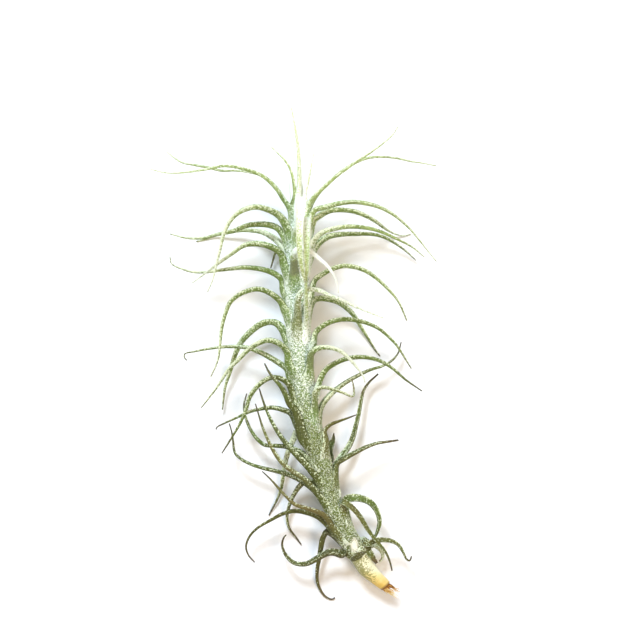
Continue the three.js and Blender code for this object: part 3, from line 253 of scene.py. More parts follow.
rightLeaves = [
    dict(foot=25, bearing=72, wide=0.6, wrap=0.6, age=0.38, bleach=(0.1, -0.05, 0.1), route=[
        (3.6, 31.7, 15.6), (5, 33.4, 16.4), (6.9, 35.1, 17), (8.8, 36.8, 17.6), (11.2, 38.5, 18.1),
        (13.4, 40.1, 18.3), (15.8, 41.6, 18.2), (18.1, 43.3, 18), (20.2, 45.1, 17.8), (21.5, 47, 17.7)]),
    dict(foot=24, bearing=115, wide=0.55, wrap=0.6, age=0.4, bleach=(0.1, -0.05, -0.1, 0), route=[
        (3.8, 31.3, 12.6), (5.4, 33.8, 13), (7.7, 36, 13.4), (10, 38, 13.6), (12.6, 39.7, 13.6),
        (15.3, 40.8, 13.3), (18.2, 41.1, 12.8), (21.2, 40.9, 12.2), (24.2, 40.3, 11.5), (27.1, 39.9, 10.9),
        (29.6, 39.4, 10.5)]),
    dict(foot=22.4, bearing=78, wide=0.8, wrap=0.75, age=0.44, bleach=(0.15, -0.1, 0.25), route=[
        (4.4, 30, 15.6), (6.2, 30.5, 16.4), (8.8, 31.2, 17.2), (12, 31.6, 17.7), (14.9, 31.3, 17.8),
        (17.8, 30.5, 17.5), (20.8, 28.9, 16.8), (23.7, 26.5, 15.6), (26.1, 23.8, 14.2), (28.4, 21, 12.8),
        (29.6, 19.6, 12)]),
    dict(foot=20.5, bearing=102, wide=0.95, wrap=0.8, age=(0.4, 0.55, 0.5),
         bleach=(0.5, 0.3, -0.1, 0.1, 0.2, 0.4), route=[
        (4.3, 28.1, 12.8), (5.6, 29.1, 12.9), (7.6, 30.1, 12.6), (10, 30.3, 11.9), (12.6, 30, 10.9),
        (15.1, 29.1, 9.5), (17.2, 28, 7.6), (18.5, 27.1, 5.6), (19.9, 26.3, 3.4), (21.6, 25.6, 1.4),
        (23.3, 25.3, 0.5), (24.7, 25.7, 0.4)]),
    dict(foot=17.3, bearing=82, wide=0.85, age=(0.36, 0.48, 0.52), bleach=(0.55, 0.4, 0.1, -0.4, -0.2, 0.4),
         route=[
        (4.4, 24.1, 15), (6, 25.5, 15.3), (8.5, 26.3, 15.2), (11.2, 26.7, 14.8), (14, 26.6, 14.2),
        (16.8, 26.1, 13.4), (19.1, 25.3, 12.6), (21.5, 24.2, 11.7), (24.5, 22.7, 10.5), (27.2, 20.6, 9.4)]),
    dict(foot=15, bearing=118, wide=1, age=(0.4, 0.62, 0.6), bleach=(0.5, 0.1, -0.2, 0.5), route=[
        (4.5, 22.3, 10.9), (5.5, 23.6, 10.4), (7.2, 24.8, 9.7), (10.2, 25.4, 8.5), (13.1, 25.5, 7.3),
        (16.1, 25.5, 6.1), (18.6, 25, 5), (21, 23.8, 3.9), (23.5, 22.1, 2.6), (25.8, 20.1, 1.3)]),
    dict(foot=8, bearing=92, wide=0.85, age=0.54, bleach=(0.3, 0.1, 0, 0.1), route=[
        (4.4, 15.7, 13.6), (6, 17, 13.5), (8.3, 18.2, 13.1), (10.6, 18.7, 12.4), (12.9, 18.4, 11.6),
        (15.1, 17.6, 10.6), (17.3, 16.1, 9.5), (19.8, 13.8, 8.3), (21.9, 11.3, 7), (23.7, 7.4, 5.4)]),
    dict(foot=4.5, bearing=128, wide=1, age=0.6, bleach=0.05, route=[
        (4.3, 11.7, 9.7), (5.6, 12.1, 9), (7.2, 11.9, 8.2), (9, 11.4, 7.2), (11.1, 10, 5.9),
        (12.7, 8.3, 4.5), (14.2, 5.9, 2.9), (16, 3.1, 1.4), (17.3, 1, 0.5), (18.2, -0.1, 0.3)]),
    dict(foot=-2, bearing=86, wide=0.85, age=0.58, bleach=(0.5, -0.1, -0.05, 0), route=[
        (4.6, 4.9, 13), (6, 6.3, 13.2), (8.1, 7.3, 13), (10.4, 7.7, 12.5), (12.8, 7.5, 11.8),
        (15.2, 6.9, 11), (17.6, 5.8, 10.1), (19.6, 4.2, 9.2), (21.5, 2.2, 8.3), (22.7, 0.4, 7.6),
        (24.6, -2.6, 6.6)]),
    dict(foot=-11.5, bearing=84, wide=0.9, age=(0.5, 0.68, 0.64), bleach=(0.55, -0.15, -0.05, -0.2), route=[
        (5.9, -3.9, 12.8), (7, -2.4, 13), (8.7, -1.3, 12.9), (10.7, -0.5, 12.5), (13.3, -0.1, 11.9),
        (15.9, -0.3, 11.2), (18.5, -1.2, 10.3), (20.8, -2.7, 9.5), (23.2, -4.8, 8.6), (26.8, -7.3, 7.4)]),
    dict(foot=-17.5, bearing=118, wide=0.85, age=0.7, bleach=(-0.1, 0.45, -0.1, -0.1), tan=0.1, route=[
        (5.9, -10.4, 8.9), (6.9, -8.9, 8.4), (8.6, -7.2, 7.8), (10.9, -5.5, 7.2), (13.4, -4.1, 6.6),
        (16, -2.9, 6), (18.6, -2.1, 5.4), (20.6, -1, 4.9), (21.9, 0.5, 4.5), (22.6, 2.9, 4.2)]),
    dict(foot=-31, bearing=132, wide=0.85, tip=0.4, age=0.78, bleach=(0.4, 0.35, -0.2, -0.1),
         tan=(0, 0.1, 0.1, 0.5), route=[
        (9, -22.8, 6.6), (10, -21.2, 6), (11.5, -19.2, 5.5), (12.5, -17.1, 5.1), (13.2, -14.4, 4.8),
        (13.8, -11.9, 4.6), (14.2, -9.6, 4.4), (14.7, -7.4, 4.2), (15.7, -5.8, 4.1), (17.8, -3.8, 4)]),
    dict(foot=-28.8, bearing=96, wide=0.8, tip=0.5, age=0.84, bleach=(-0.3, -0.1, -0.25),
         tan=(0.05, 0.1, 0.2, 0.5), route=[
        (9, -22.3, 9.6), (10.7, -21.2, 9.6), (12.9, -20, 9.3), (15.4, -18.8, 8.9), (17.5, -18.1, 8.5),
        (19.7, -17.8, 8.1), (21.9, -17.5, 7.8)]),
    dict(foot=-22.5, bearing=80, wide=0.75, age=(0.8, 0.9, 1), bleach=(0.1, 0.1, -0.3, -0.6), tan=0.2,
         route=[
        (6.5, -15.4, 11.4), (7.5, -14.2, 11.5), (9.4, -13.4, 11.2), (11.2, -12.8, 10.8),
        (13.1, -12.1, 10.4)]),
    dict(foot=-27.5, bearing=145, wide=(0.35, 0.8, 1.3, 0.9), tip=0.15, taper=3, age=0.92,
         bleach=(0, -0.2, -0.1), tan=(0.3, 0, 0), route=[
        (7.7, -21.5, 6), (7.4, -20.4, 5), (7.8, -19, 4.2), (8.4, -17.7, 3.5), (8.5, -16.2, 2.8)]),
    dict(foot=-36.8, bearing=100, wide=1, age=0.74, bleach=(0.05, 0.05, 0, -0.2), route=[
        (11.1, -30, 8.4), (12.6, -29.6, 8.7), (14.3, -29.8, 8.7), (16, -30.6, 8.4), (17.3, -32.3, 8),
        (17.9, -34.5, 7.5), (17.5, -36.5, 7), (16.9, -37.9, 6.3), (16.1, -39, 5.2), (15.4, -39.9, 4)]),
    dict(foot=-36.4, bearing=52, wide=0.7, wrap=0.7, age=0.82, bleach=(0.2, -0.1, 0),
         tan=(0, 0.25, 0.15, 0.1), route=[
        (10.2, -30, 11.4), (11.5, -30.7, 11.9), (12.9, -32, 11.8), (14.1, -33.6, 11.5), (15.2, -35.5, 11.1),
        (16.4, -37.2, 10.6), (18, -39.1, 10), (19.3, -40.9, 9.5), (20.1, -42.9, 9), (20.5, -44.6, 8.6)]),
    dict(foot=-41.2, bearing=78, wide=0.75, sheath=1.5, age=0.84, bleach=(0.3, 0, -0.1), tan=0.15, route=[
        (15.7, -39.2, 8), (17.2, -38.5, 7.9), (19, -38.4, 7.6), (20.6, -38.7, 7.1), (21.9, -39.5, 6.5),
        (22.9, -41, 5.9), (23.7, -42.6, 5.4), (24.3, -42.9, 5.2), (24.6, -42.4, 5.2), (24.7, -41.9, 5.3)]),
    dict(foot=-41.2, bearing=125, wide=1.1, tip=0.6, sheath=1.2, age=0.52, bleach=(0.6, 0.3),
         tan=(0, 0, 0.1, 0.8), route=[
        (15.5, -39.8, 6), (16.7, -39.4, 5.6), (17.8, -40.1, 5), (18.6, -41.2, 4.4), (18.7, -42.4, 3.8),
        (18.1, -43.2, 3.4)]),
    dict(foot=-41.2, bearing=95, wide=1.1, tip=0.6, sheath=1, age=0.88, tan=(0, 0.1, 0.1, 0.7), route=[
        (15.5, -40.6, 7), (16.2, -41.5, 6.8), (16.9, -42.6, 6.4), (17.4, -43.3, 6)]),
]

# The leaves that the stem lies on. Each goes down, bends on the table and runs back along it.
underLeaves = {
    "feet": [22.5, 13, 6.5, 0, -6.5, -13.5],
    "bearings": [172, -166],
    "reach": 7,  # from a leaf's foot to where it turns down
    "scatter": 0.5,  # how far that varies from leaf to leaf
    "aside": 0.7,  # from the stem's middle
    "down": [(0, -0.6, 0.62), (0.5, 0, 0.3)],  # outwards, along Y, and height as a share of the drop
    "touch": (0.9, -1.6, 0.6),  # the bend at the table: outwards, along Y, and height above the run
    "length": 12,  # the run back along the table, its steps and its height
    "step": 3.6,
    "height": 0.3,
    "gap": 1.4,  # from under the stem's middle, and how much more at each step
    "splay": 0.35,
    "looks": {"wide": 0.85, "age": 0.75, "tan": 0.1},
}


# sRGB hex to the linear numbers that shaders take
def hexToLinear(code):
    channels = [int(code[i:i + 2], 16) / 255 for i in (1, 3, 5)]
    return tuple(c / 12.92 if c <= 0.04045 else ((c + 0.055) / 1.055) ** 2.4 for c in channels) + (1,)


def firstOutput(node):
    return next(s for s in node.outputs if s.enabled)


# Adds a node. Feeds go into its open sockets in order, or by name, and each is a node, whose first output
# is taken, a socket or a value.
def addNode(tree, kind, feeds=(), **settings):
    node = tree.nodes.new(kind)
    for name, value in settings.items():
        setattr(node, name, value)
    sockets = [s for s in node.inputs if s.enabled]
    if isinstance(feeds, dict):
        pairs = [(next(s for s in sockets if s.name == name), feed) for name, feed in feeds.items()]
    else:
        pairs = zip(sockets, feeds)
    for socket, feed in pairs:
        if isinstance(feed, bpy.types.Node):
            feed = firstOutput(feed)
        if isinstance(feed, bpy.types.NodeSocket):
            tree.links.new(feed, socket)
        elif feed is not None:
            socket.default_value = feed
    return node


# Puts a mesh, a light or a camera into the scene
def addObject(name, data):
    made = bpy.data.objects.new(name, data)
    bpy.context.scene.collection.objects.link(made)
    return made


# Paths

# A centripetal Catmull-Rom curve through the points, as evenly spaced points, and its length. Steps is how
# finely each span is cut before that.
def smoothLine(points, count, steps=24):
    points = np.array(points, float)
    padded = np.vstack([2 * points[0] - points[1], points, 2 * points[-1] - points[-2]])
    dense = []
    for p0, p1, p2, p3 in zip(padded, padded[1:], padded[2:], padded[3:]):
        d0, d1, d2 = (max(np.linalg.norm(q - p) ** 0.5, 1e-4) for p, q in ((p0, p1), (p1, p2), (p2, p3)))
        out = ((p1 - p0) / d0 - (p2 - p0) / (d0 + d1) + (p2 - p1) / d1) * d1
        into = ((p2 - p1) / d1 - (p3 - p1) / (d1 + d2) + (p3 - p2) / d2) * d1
        bow = 3 * (p2 - p1) - 2 * out - into
        turn = 2 * (p1 - p2) + out + into
        for t in np.arange(0, 1, 1 / steps):
            dense.append(p1 + out * t + bow * t ** 2 + turn * t ** 3)
    dense = np.array(dense + [points[-1]])
    run = np.concatenate([[0], np.cumsum(np.linalg.norm(np.diff(dense, axis=0), axis=1))])
    even = np.linspace(0, run[-1], count)
    return np.column_stack([np.interp(even, run, dense[:, k]) for k in range(3)]), run[-1]


stemLine = np.array(stem["line"], float)
stemSamples, _ = smoothLine(stemLine[:, :3], stem["samples"])


def unit(v):
    return v / np.linalg.norm(v)


# The stem's middle, its up and right, and its radius at a height Y
def stemAt(y):
    i = int(np.clip(np.searchsorted(stemSamples[:, 1], y), 1, len(stemSamples) - 1))
    low, high = stemSamples[i - 1], stemSamples[i]
    middle = low + (high - low) * (y - low[1]) / (high[1] - low[1])
    along = unit(high - low)
    up = unit(np.array([0, 0, 1.0]) - along * along[2])
    return middle, up, np.cross(along, up), np.interp(y, stemLine[:, 1], stemLine[:, 3])


# A stretch of the stem, as its middle points and its radius at each
def stemStretch(low, high, count):
    middles, _, _, radii = zip(*(stemAt(y) for y in np.linspace(low, high, count)))
    return np.array(middles), np.array(radii)


# The way that a bearing points at a height Y
def outwards(y, bearing):
    _, up, right, _ = stemAt(y)
    angle = math.radians(bearing)
    return up * math.cos(angle) + right * math.sin(angle)


# Down from the stem, a bend at the table, and a run back along it
def underRow(index, foot):
    bearing = underLeaves["bearings"][index % 2]
    side = math.copysign(1, math.sin(math.radians(bearing)))
    middle, _, _, radius = stemAt(foot + underLeaves["reach"])
    drop = middle[2] - radius
    x = middle[0] + underLeaves["aside"] * side
    uneven = (index + 1) * 37 % 23 / 11 - 1  # another value from -1 to 1 for each leaf
    y = foot + underLeaves["reach"] + underLeaves["scatter"] * uneven
    route = [(x + out * side, y + along, share * drop) for out, along, share in underLeaves["down"]]
    out, along, lift = underLeaves["touch"]
    route.append((x + out * side, y + along, underLeaves["height"] + lift))
    for k in range(1, int(underLeaves["length"] / underLeaves["step"]) + 1):
        back = y + along - k * underLeaves["step"]
        away = underLeaves["gap"] + underLeaves["splay"] * k
        route.append((stemAt(back)[0][0] + away * side, back, underLeaves["height"]))
    return dict(foot=foot, bearing=bearing, route=route, **underLeaves["looks"])


# One value, or several spread evenly from a leaf's foot to its tip, read at each of its points
def spread(value):
    values = np.atleast_1d(np.array(value, float))
    steps = np.linspace(0, 1, leaf["pathPoints"])
    return np.interp(steps, np.linspace(0, 1, len(values)), values)


# The points along one leaf, the way that its channel faces, and its sizes and tones at each point
def leafPath(row):
    sheath = row.get("sheath", leaf["sheath"])
    way = outwards(row["foot"], row["bearing"])
    starts = []
    for share, out, lift in leaf["seat"]:
        middle, _, _, radius = stemAt(row["foot"] + share * sheath)
        starts.append(middle + way * (out * radius + lift))
    points, length = smoothLine([*starts, *row["route"]], leaf["pathPoints"])
    facing = [-way]
    for direction in np.gradient(points, axis=0):
        direction = unit(direction)
        facing.append(unit(facing[-1] - direction * facing[-1].dot(direction)))
    run = np.linspace(-sheath, length - sheath, leaf["pathPoints"])
    # a stretch of painted shade, faded in and out at its ends
    darkness, darkFrom, darkTo = row.get("dark", (0, 0, 1))
    shade = np.array([darkFrom, darkFrom, darkTo, darkTo]) + leaf["shadeEdges"]
    wide = spread(row["wide"]) * leaf["bladeWidth"] * mm
    wrap = spread(row.get("wrap", 1)) * leaf["sheathWidth"] * mm
    tip = spread(row.get("tip", leaf["tipWidth"])) * mm
    return {
        "points": points,
        "facing": np.array(facing[1:]),
        "widths": np.column_stack([wide, wrap, tip]),
        "lengths": np.column_stack([spread(length) * mm, spread(sheath) * mm,
                                    spread(row.get("taper", leaf["taper"]))]),
        "tone": np.column_stack([spread(row.get(key, 0)) for key in ("age", "bleach", "tan")]),
        "dark": darkness * np.interp(run, shade, [0, 1, 1, 0]),
    }


# Open lines as one mesh of edges, with a value of each attribute for every point
def pathObject(name, paths, **attributes):
    mesh = bpy.data.meshes.new(name)
    starts = np.cumsum([0] + [len(p) for p in paths])
    edges = [(a + i, a + i + 1) for a, p in zip(starts, paths) for i in range(len(p) - 1)]
    mesh.from_pydata((np.vstack(paths) * mm).tolist(), edges, [])
    for key, values in attributes.items():
        giveAttribute(mesh, key, np.concatenate(values))
    return addObject(name, mesh)


# A number or a vector for each point of a mesh
def giveAttribute(mesh, key, values):
    single = values.ndim == 1
    made = mesh.attributes.new(key, "FLOAT" if single else "FLOAT_VECTOR", "POINT")
    made.data.foreach_set("value" if single else "vector", values.astype(np.float32).ravel())


# Geometry Nodes

# A tree with a geometry going in and out, and a named input for each size
def newTree(name, **sizes):
    tree = bpy.data.node_groups.new(name, "GeometryNodeTree")
    tree.interface.new_socket("Geometry", in_out="INPUT", socket_type="NodeSocketGeometry")
    tree.interface.new_socket("Geometry", in_out="OUTPUT", socket_type="NodeSocketGeometry")
    for label, value in sizes.items():
        kind = "NodeSocketInt" if isinstance(value, int) else "NodeSocketFloat"
        kind = "NodeSocketMaterial" if value is None else kind
        socket = tree.interface.new_socket(label, in_out="INPUT", socket_type=kind)
        if value is not None:
            socket.default_value = value
    source = tree.nodes.new("NodeGroupInput")
    return tree, source.outputs


# Nothing reaches below the table that the plant lies on
def restOnTable(tree, geometry):
    place = addNode(tree, "ShaderNodeSeparateXYZ", [addNode(tree, "GeometryNodeInputPosition")]).outputs
    height = addNode(tree, "ShaderNodeMath", [place["Z"], tableGap * mm], operation="MAXIMUM")
    spot = addNode(tree, "ShaderNodeCombineXYZ", [place["X"], place["Y"], height])
    return addNode(tree, "GeometryNodeSetPosition", {"Geometry": geometry, "Position": spot})


# What every tree ends in, because only real geometry is exported
def endTree(tree, geometry, material):
    shown = addNode(tree, "GeometryNodeSetMaterial", {"Geometry": geometry, "Material": material})
    real = addNode(tree, "GeometryNodeRealizeInstances", [shown])
    addNode(tree, "NodeGroupOutput", [real])


# The tree's result on an object, as a plain mesh piece
def growMesh(source, tree, name, **values):
    modifier = source.modifiers.new(tree.name, "NODES")
    modifier.node_group = tree
    for item in tree.interface.items_tree:
        if item.item_type == "SOCKET" and item.in_out == "INPUT" and item.name in values:
            modifier[item.identifier] = values[item.name]
    bpy.context.view_layer.update()
    evaluated = source.evaluated_get(bpy.context.evaluated_depsgraph_get())
    mesh = bpy.data.meshes.new_from_object(evaluated)
    source.modifiers.remove(modifier)
    mesh.name = name
    return addObject(name, mesh)


# The same along lines, which aren't needed afterwards
def growAlong(paths, attributes, tree, name, **values):
    lines = pathObject(name + "Paths", paths, **attributes)
    piece = growMesh(lines, tree, name, **values)
    bpy.data.objects.remove(lines)
    return piece


# Lofts a channelled blade with a clasping sheath along every line that it is given
def leafTree():
    tree, put = newTree(
        "leafTree", rows=leaf["rows"], sides=leaf["sides"], bladeDepth=leaf["bladeDepth"],
        sheathDepth=leaf["sheathDepth"] * mm, sheathThickness=leaf["sheathThickness"] * mm, material=None,
    )
    lines = addNode(tree, "GeometryNodeMeshToCurve", [put["Geometry"]])
    count = addNode(tree, "GeometryNodeAttributeDomainSize", [lines], component="CURVE")
    count = count.outputs["Spline Count"]
    # one tube for each line: its height becomes the way along the leaf, its turn the way round it
    tube = addNode(tree, "GeometryNodeMeshCylinder", [put["sides"], put["rows"], 1, 1.0, 1.0])
    place = addNode(tree, "ShaderNodeSeparateXYZ", [addNode(tree, "GeometryNodeInputPosition")]).outputs
    row = addNode(tree, "ShaderNodeMath", [place["Z"], 0.5], operation="ADD")
    for key, value in (("row", row), ("acrossShare", place["X"]), ("inner", place["Y"])):
        tube = addNode(tree, "GeometryNodeStoreNamedAttribute", [tube, None, key, value])
    spots = addNode(tree, "GeometryNodeMeshLine", [count])
    spots = addNode(tree, "GeometryNodeStoreNamedAttribute",
                    [spots, None, "leafIndex", addNode(tree, "GeometryNodeInputIndex")], data_type="INT")
    tubes = addNode(tree, "GeometryNodeInstanceOnPoints", {"Points": spots, "Instance": tube})
    tubes = addNode(tree, "GeometryNodeRealizeInstances", [tubes])

    row = addNode(tree, "GeometryNodeInputNamedAttribute", ["row"])
    index = addNode(tree, "GeometryNodeInputNamedAttribute", ["leafIndex"], data_type="INT")
    across = addNode(tree, "GeometryNodeInputNamedAttribute", ["acrossShare"])
    inner = addNode(tree, "GeometryNodeInputNamedAttribute", ["inner"])
    samples = {}
    for key, kind in (("facing", "FLOAT_VECTOR"), ("widths", "FLOAT_VECTOR"), ("lengths", "FLOAT_VECTOR"),
                      ("tone", "FLOAT_VECTOR"), ("dark", "FLOAT")):
        value = addNode(tree, "GeometryNodeInputNamedAttribute", [key], data_type=kind)
        samples[key] = addNode(tree, "GeometryNodeSampleCurve", [lines, value, row, index],
                               data_type=kind).outputs
    wide, wrap, tip = addNode(tree, "ShaderNodeSeparateXYZ", [samples["widths"]["Value"]]).outputs
    length, sheath, taper = addNode(tree, "ShaderNodeSeparateXYZ", [samples["lengths"]["Value"]]).outputs
    run = addNode(tree, "ShaderNodeMath", [row, length], operation="MULTIPLY")
    low, high = (addNode(tree, "ShaderNodeMath", [sheath, share], operation="MULTIPLY")
                 for share in leaf["joint"])
    clasp = addNode(tree, "ShaderNodeMapRange", [run, low, high, 1.0, 0.0], interpolation_type="SMOOTHSTEP")
    free = addNode(tree, "ShaderNodeMapRange", [run, sheath, length, 0.0, 1.0])
    thinning = addNode(tree, "ShaderNodeMath", [free, taper], operation="POWER")

    # half the width, then the keel's depth, the margins' height and the thickness, blade before sheath
    half = addNode(tree, "ShaderNodeMath", [wide, 0.5], operation="MULTIPLY")
    tip = addNode(tree, "ShaderNodeMath", [tip, 0.5], operation="MULTIPLY")
    blade = addNode(tree, "ShaderNodeMapRange", [thinning, 0.0, 1.0, half, tip])
    opening = addNode(tree, "ShaderNodeMath", [sheath, 0.5], operation="MULTIPLY")
    opening = addNode(tree, "ShaderNodeMapRange", [run, 0.0, opening, leaf["footHalf"], 0.5],
                      interpolation_type="SMOOTHSTEP")
    wrap = addNode(tree, "ShaderNodeMath", [wrap, opening], operation="MULTIPLY")
    width = addNode(tree, "ShaderNodeMapRange", [clasp, 0.0, 1.0, blade, wrap])
    keel = addNode(tree, "ShaderNodeMath", [blade, put["bladeDepth"]], operation="MULTIPLY")
    keel = addNode(tree, "ShaderNodeMapRange", [clasp, 0.0, 1.0, keel, put["sheathDepth"]])
    margin = addNode(tree, "ShaderNodeMath", [blade, leaf["marginHeight"]], operation="MULTIPLY")
    margin = addNode(tree, "ShaderNodeMapRange", [clasp, 0.0, 1.0, margin, put["sheathDepth"]])
    thick = addNode(tree, "ShaderNodeMath", [blade, leaf["bladeThickness"]], operation="MULTIPLY")
    thick = addNode(tree, "ShaderNodeMapRange", [clasp, 0.0, 1.0, thick, put["sheathThickness"]])

    # the section is a flat oval bent into a gutter
    edge = addNode(tree, "ShaderNodeMath", [across], operation="ABSOLUTE")
    bend = addNode(tree, "ShaderNodeMath", [edge, leaf["gutter"]], operation="POWER")
    rim = addNode(tree, "ShaderNodeMapRange", [bend, 0.0, 1.0, *leaf["wall"]])
    wall = addNode(tree, "ShaderNodeMath", [thick, rim], operation="MULTIPLY")
    floorLine = addNode(tree, "ShaderNodeMath", [wall, keel], operation="SUBTRACT")
    centre = addNode(tree, "ShaderNodeMapRange", [bend, 0.0, 1.0, floorLine, margin])
    height = addNode(tree, "ShaderNodeMath", [inner, wall, centre], operation="MULTIPLY_ADD")
    aside = addNode(tree, "ShaderNodeMath", [across, width], operation="MULTIPLY")

    facing = samples["facing"]
    sideways = addNode(tree, "ShaderNodeVectorMath", [facing["Value"], facing["Tangent"]],
                       operation="CROSS_PRODUCT")
    sideways = addNode(tree, "ShaderNodeVectorMath", [sideways], operation="NORMALIZE")
    sideways = addNode(tree, "ShaderNodeVectorMath", {"Vector": sideways, "Scale": aside}, operation="SCALE")
    inwards = addNode(tree, "ShaderNodeVectorMath", {"Vector": facing["Value"], "Scale": height},
                      operation="SCALE")
    spot = addNode(tree, "ShaderNodeVectorMath", [facing["Position"], sideways], operation="ADD")
    spot = addNode(tree, "ShaderNodeVectorMath", [spot, inwards], operation="ADD")
    leaves = addNode(tree, "GeometryNodeSetPosition", {"Geometry": tubes, "Position": spot})
    leaves = restOnTable(tree, leaves)
    leaves = addNode(tree, "GeometryNodeSetShadeSmooth", [leaves])

    # how thickly scales stand on it: most on the sheaths, fewest on old blades and on the bare stretches
    # where shade is painted
    dark = samples["dark"]["Value"]
    age, bleach, _ = addNode(tree, "ShaderNodeSeparateXYZ", [samples["tone"]["Value"]]).outputs
    ending = addNode(tree, "ShaderNodeMapRange", [free, 0.7, 0.95, 0.0, 0.6])
    ending = addNode(tree, "ShaderNodeMath", [ending, age], operation="MULTIPLY")
    coat = scales["coat"]["blade"]
    for key, value in (("sheath", clasp), ("tip", ending), ("bleach", bleach), ("age", age), ("dark", dark)):
        coat = addNode(tree, "ShaderNodeMath", [value, scales["coat"][key], coat], operation="MULTIPLY_ADD")
    coat = addNode(tree, "ShaderNodeClamp", [coat, scales["coat"]["least"], 1.0])
    for key, value in (("along", free), ("clasp", clasp), ("margin", bend), ("dark", dark), ("coat", coat)):
        leaves = addNode(tree, "GeometryNodeStoreNamedAttribute", [leaves, None, key, value])
    leaves = addNode(tree, "GeometryNodeStoreNamedAttribute",
                     [leaves, None, "tone", samples["tone"]["Value"]], data_type="FLOAT_VECTOR")
    endTree(tree, leaves, put["material"])
    return tree


# A round bar along every line, as thick as the line's own radius says, with an uneven skin
def stalkTree():
    tree, put = newTree("stalkTree", sides=stem["sides"], unevenness=stem["unevenness"] * mm,
                        lumpSize=stem["lumpSize"] * mm, material=None)
    lines = addNode(tree, "GeometryNodeMeshToCurve", [put["Geometry"]])
    radius = addNode(tree, "GeometryNodeInputNamedAttribute", ["radius"])
    profile = addNode(tree, "GeometryNodeCurvePrimitiveCircle", [put["sides"], 1.0])
    bar = addNode(tree, "GeometryNodeCurveToMesh", [lines, profile, radius, True])
    scale = addNode(tree, "ShaderNodeMath", [1.0, put["lumpSize"]], operation="DIVIDE")
    lumps = addNode(tree, "ShaderNodeTexNoise", {"Scale": scale, "Detail": 2.0})
    push = addNode(tree, "ShaderNodeMath", [lumps, 0.5], operation="SUBTRACT")
    push = addNode(tree, "ShaderNodeMath", [push, put["unevenness"]], operation="MULTIPLY")
    normal = addNode(tree, "GeometryNodeInputNormal")
    push = addNode(tree, "ShaderNodeVectorMath", {"Vector": normal, "Scale": push}, operation="SCALE")
    bar = addNode(tree, "GeometryNodeSetPosition", {"Geometry": bar, "Offset": push})
    bar = restOnTable(tree, bar)
    bar = addNode(tree, "GeometryNodeSetShadeSmooth", [bar])
    endTree(tree, bar, put["material"])
    return tree


scales = {
    "perSquare": 26,  # silver scales on a square millimetre where they stand thickest
    # how thickly they stand on a young blade, what each of the others adds, and the least
    "coat": {"blade": 0.45, "sheath": 0.6, "tip": -1.0, "bleach": 0.4, "age": -0.35, "dark": -0.8,
             "least": 0.03},
    "length": 0.21,  # real ones may be finer: these are as coarse as they need to be to show
    "width": 0.14,
    "sizes": (0.6, 1.25),  # smallest and largest, as shares of these
    "onBlade": 0.75,  # how large they are there, as a share of the ones on the sheaths
    "lean": 55,  # degrees from upright
    "leans": (0.5, 1.4),  # least and most, as shares of this
    "seed": 4,
    "colours": [(0, "#6f783a"), (0.35, "#c0cb90"), (1, "#fafcf4")],
    "dried": "#b2986a",
    "driftSize": 0.3,  # from a darker scale to a lighter one
    "roughness": 0.6,
}


# Small pointed scales that stand off a skin, leaning every way
def scaleTree():
    tree, put = newTree("scaleTree", density=scales["perSquare"] / mm ** 2, length=scales["length"] * mm,
                        width=scales["width"] * mm, lean=math.radians(scales["lean"]), seed=scales["seed"],
                        material=None)
    coat = addNode(tree, "GeometryNodeInputNamedAttribute", ["coat"])
    density = addNode(tree, "ShaderNodeMath", [put["density"], coat], operation="MULTIPLY")
    spots = addNode(tree, "GeometryNodeDistributePointsOnFaces",
                    {"Mesh": put["Geometry"], "Density": density, "Seed": put["seed"]})
    radius = addNode(tree, "ShaderNodeMath", [put["width"], 0.5], operation="MULTIPLY")
    spike = addNode(tree, "GeometryNodeMeshCone", [3, 1, 1, 0.0, radius, put["length"]])
    spin = addNode(tree, "FunctionNodeRandomValue", [0.0, math.tau, None, 1], data_type="FLOAT")
    low, high = (addNode(tree, "ShaderNodeMath", [put["lean"], share], operation="MULTIPLY")
                 for share in scales["leans"])
    tilt = addNode(tree, "FunctionNodeRandomValue", [low, high, None, 2], data_type="FLOAT")
    lean = addNode(tree, "ShaderNodeCombineXYZ", {"X": tilt, "Z": spin})
    turned = addNode(tree, "FunctionNodeRotateRotation", [spots.outputs["Rotation"], lean],
                     rotation_space="LOCAL")
    clasp = addNode(tree, "GeometryNodeInputNamedAttribute", ["clasp"])
    size = addNode(tree, "FunctionNodeRandomValue", [*scales["sizes"], None, 3], data_type="FLOAT")
    grown = addNode(tree, "ShaderNodeMapRange", [clasp, 0.0, 1.0, scales["onBlade"], 1.0])
    size = addNode(tree, "ShaderNodeMath", [size, grown], operation="MULTIPLY")
    shaken = addNode(tree, "GeometryNodeInstanceOnPoints",
                     {"Points": spots, "Instance": spike, "Rotation": turned, "Scale": size})
    shaken = restOnTable(tree, addNode(tree, "GeometryNodeRealizeInstances", [shaken]))
    endTree(tree, shaken, put["material"])
    return tree


# Materials

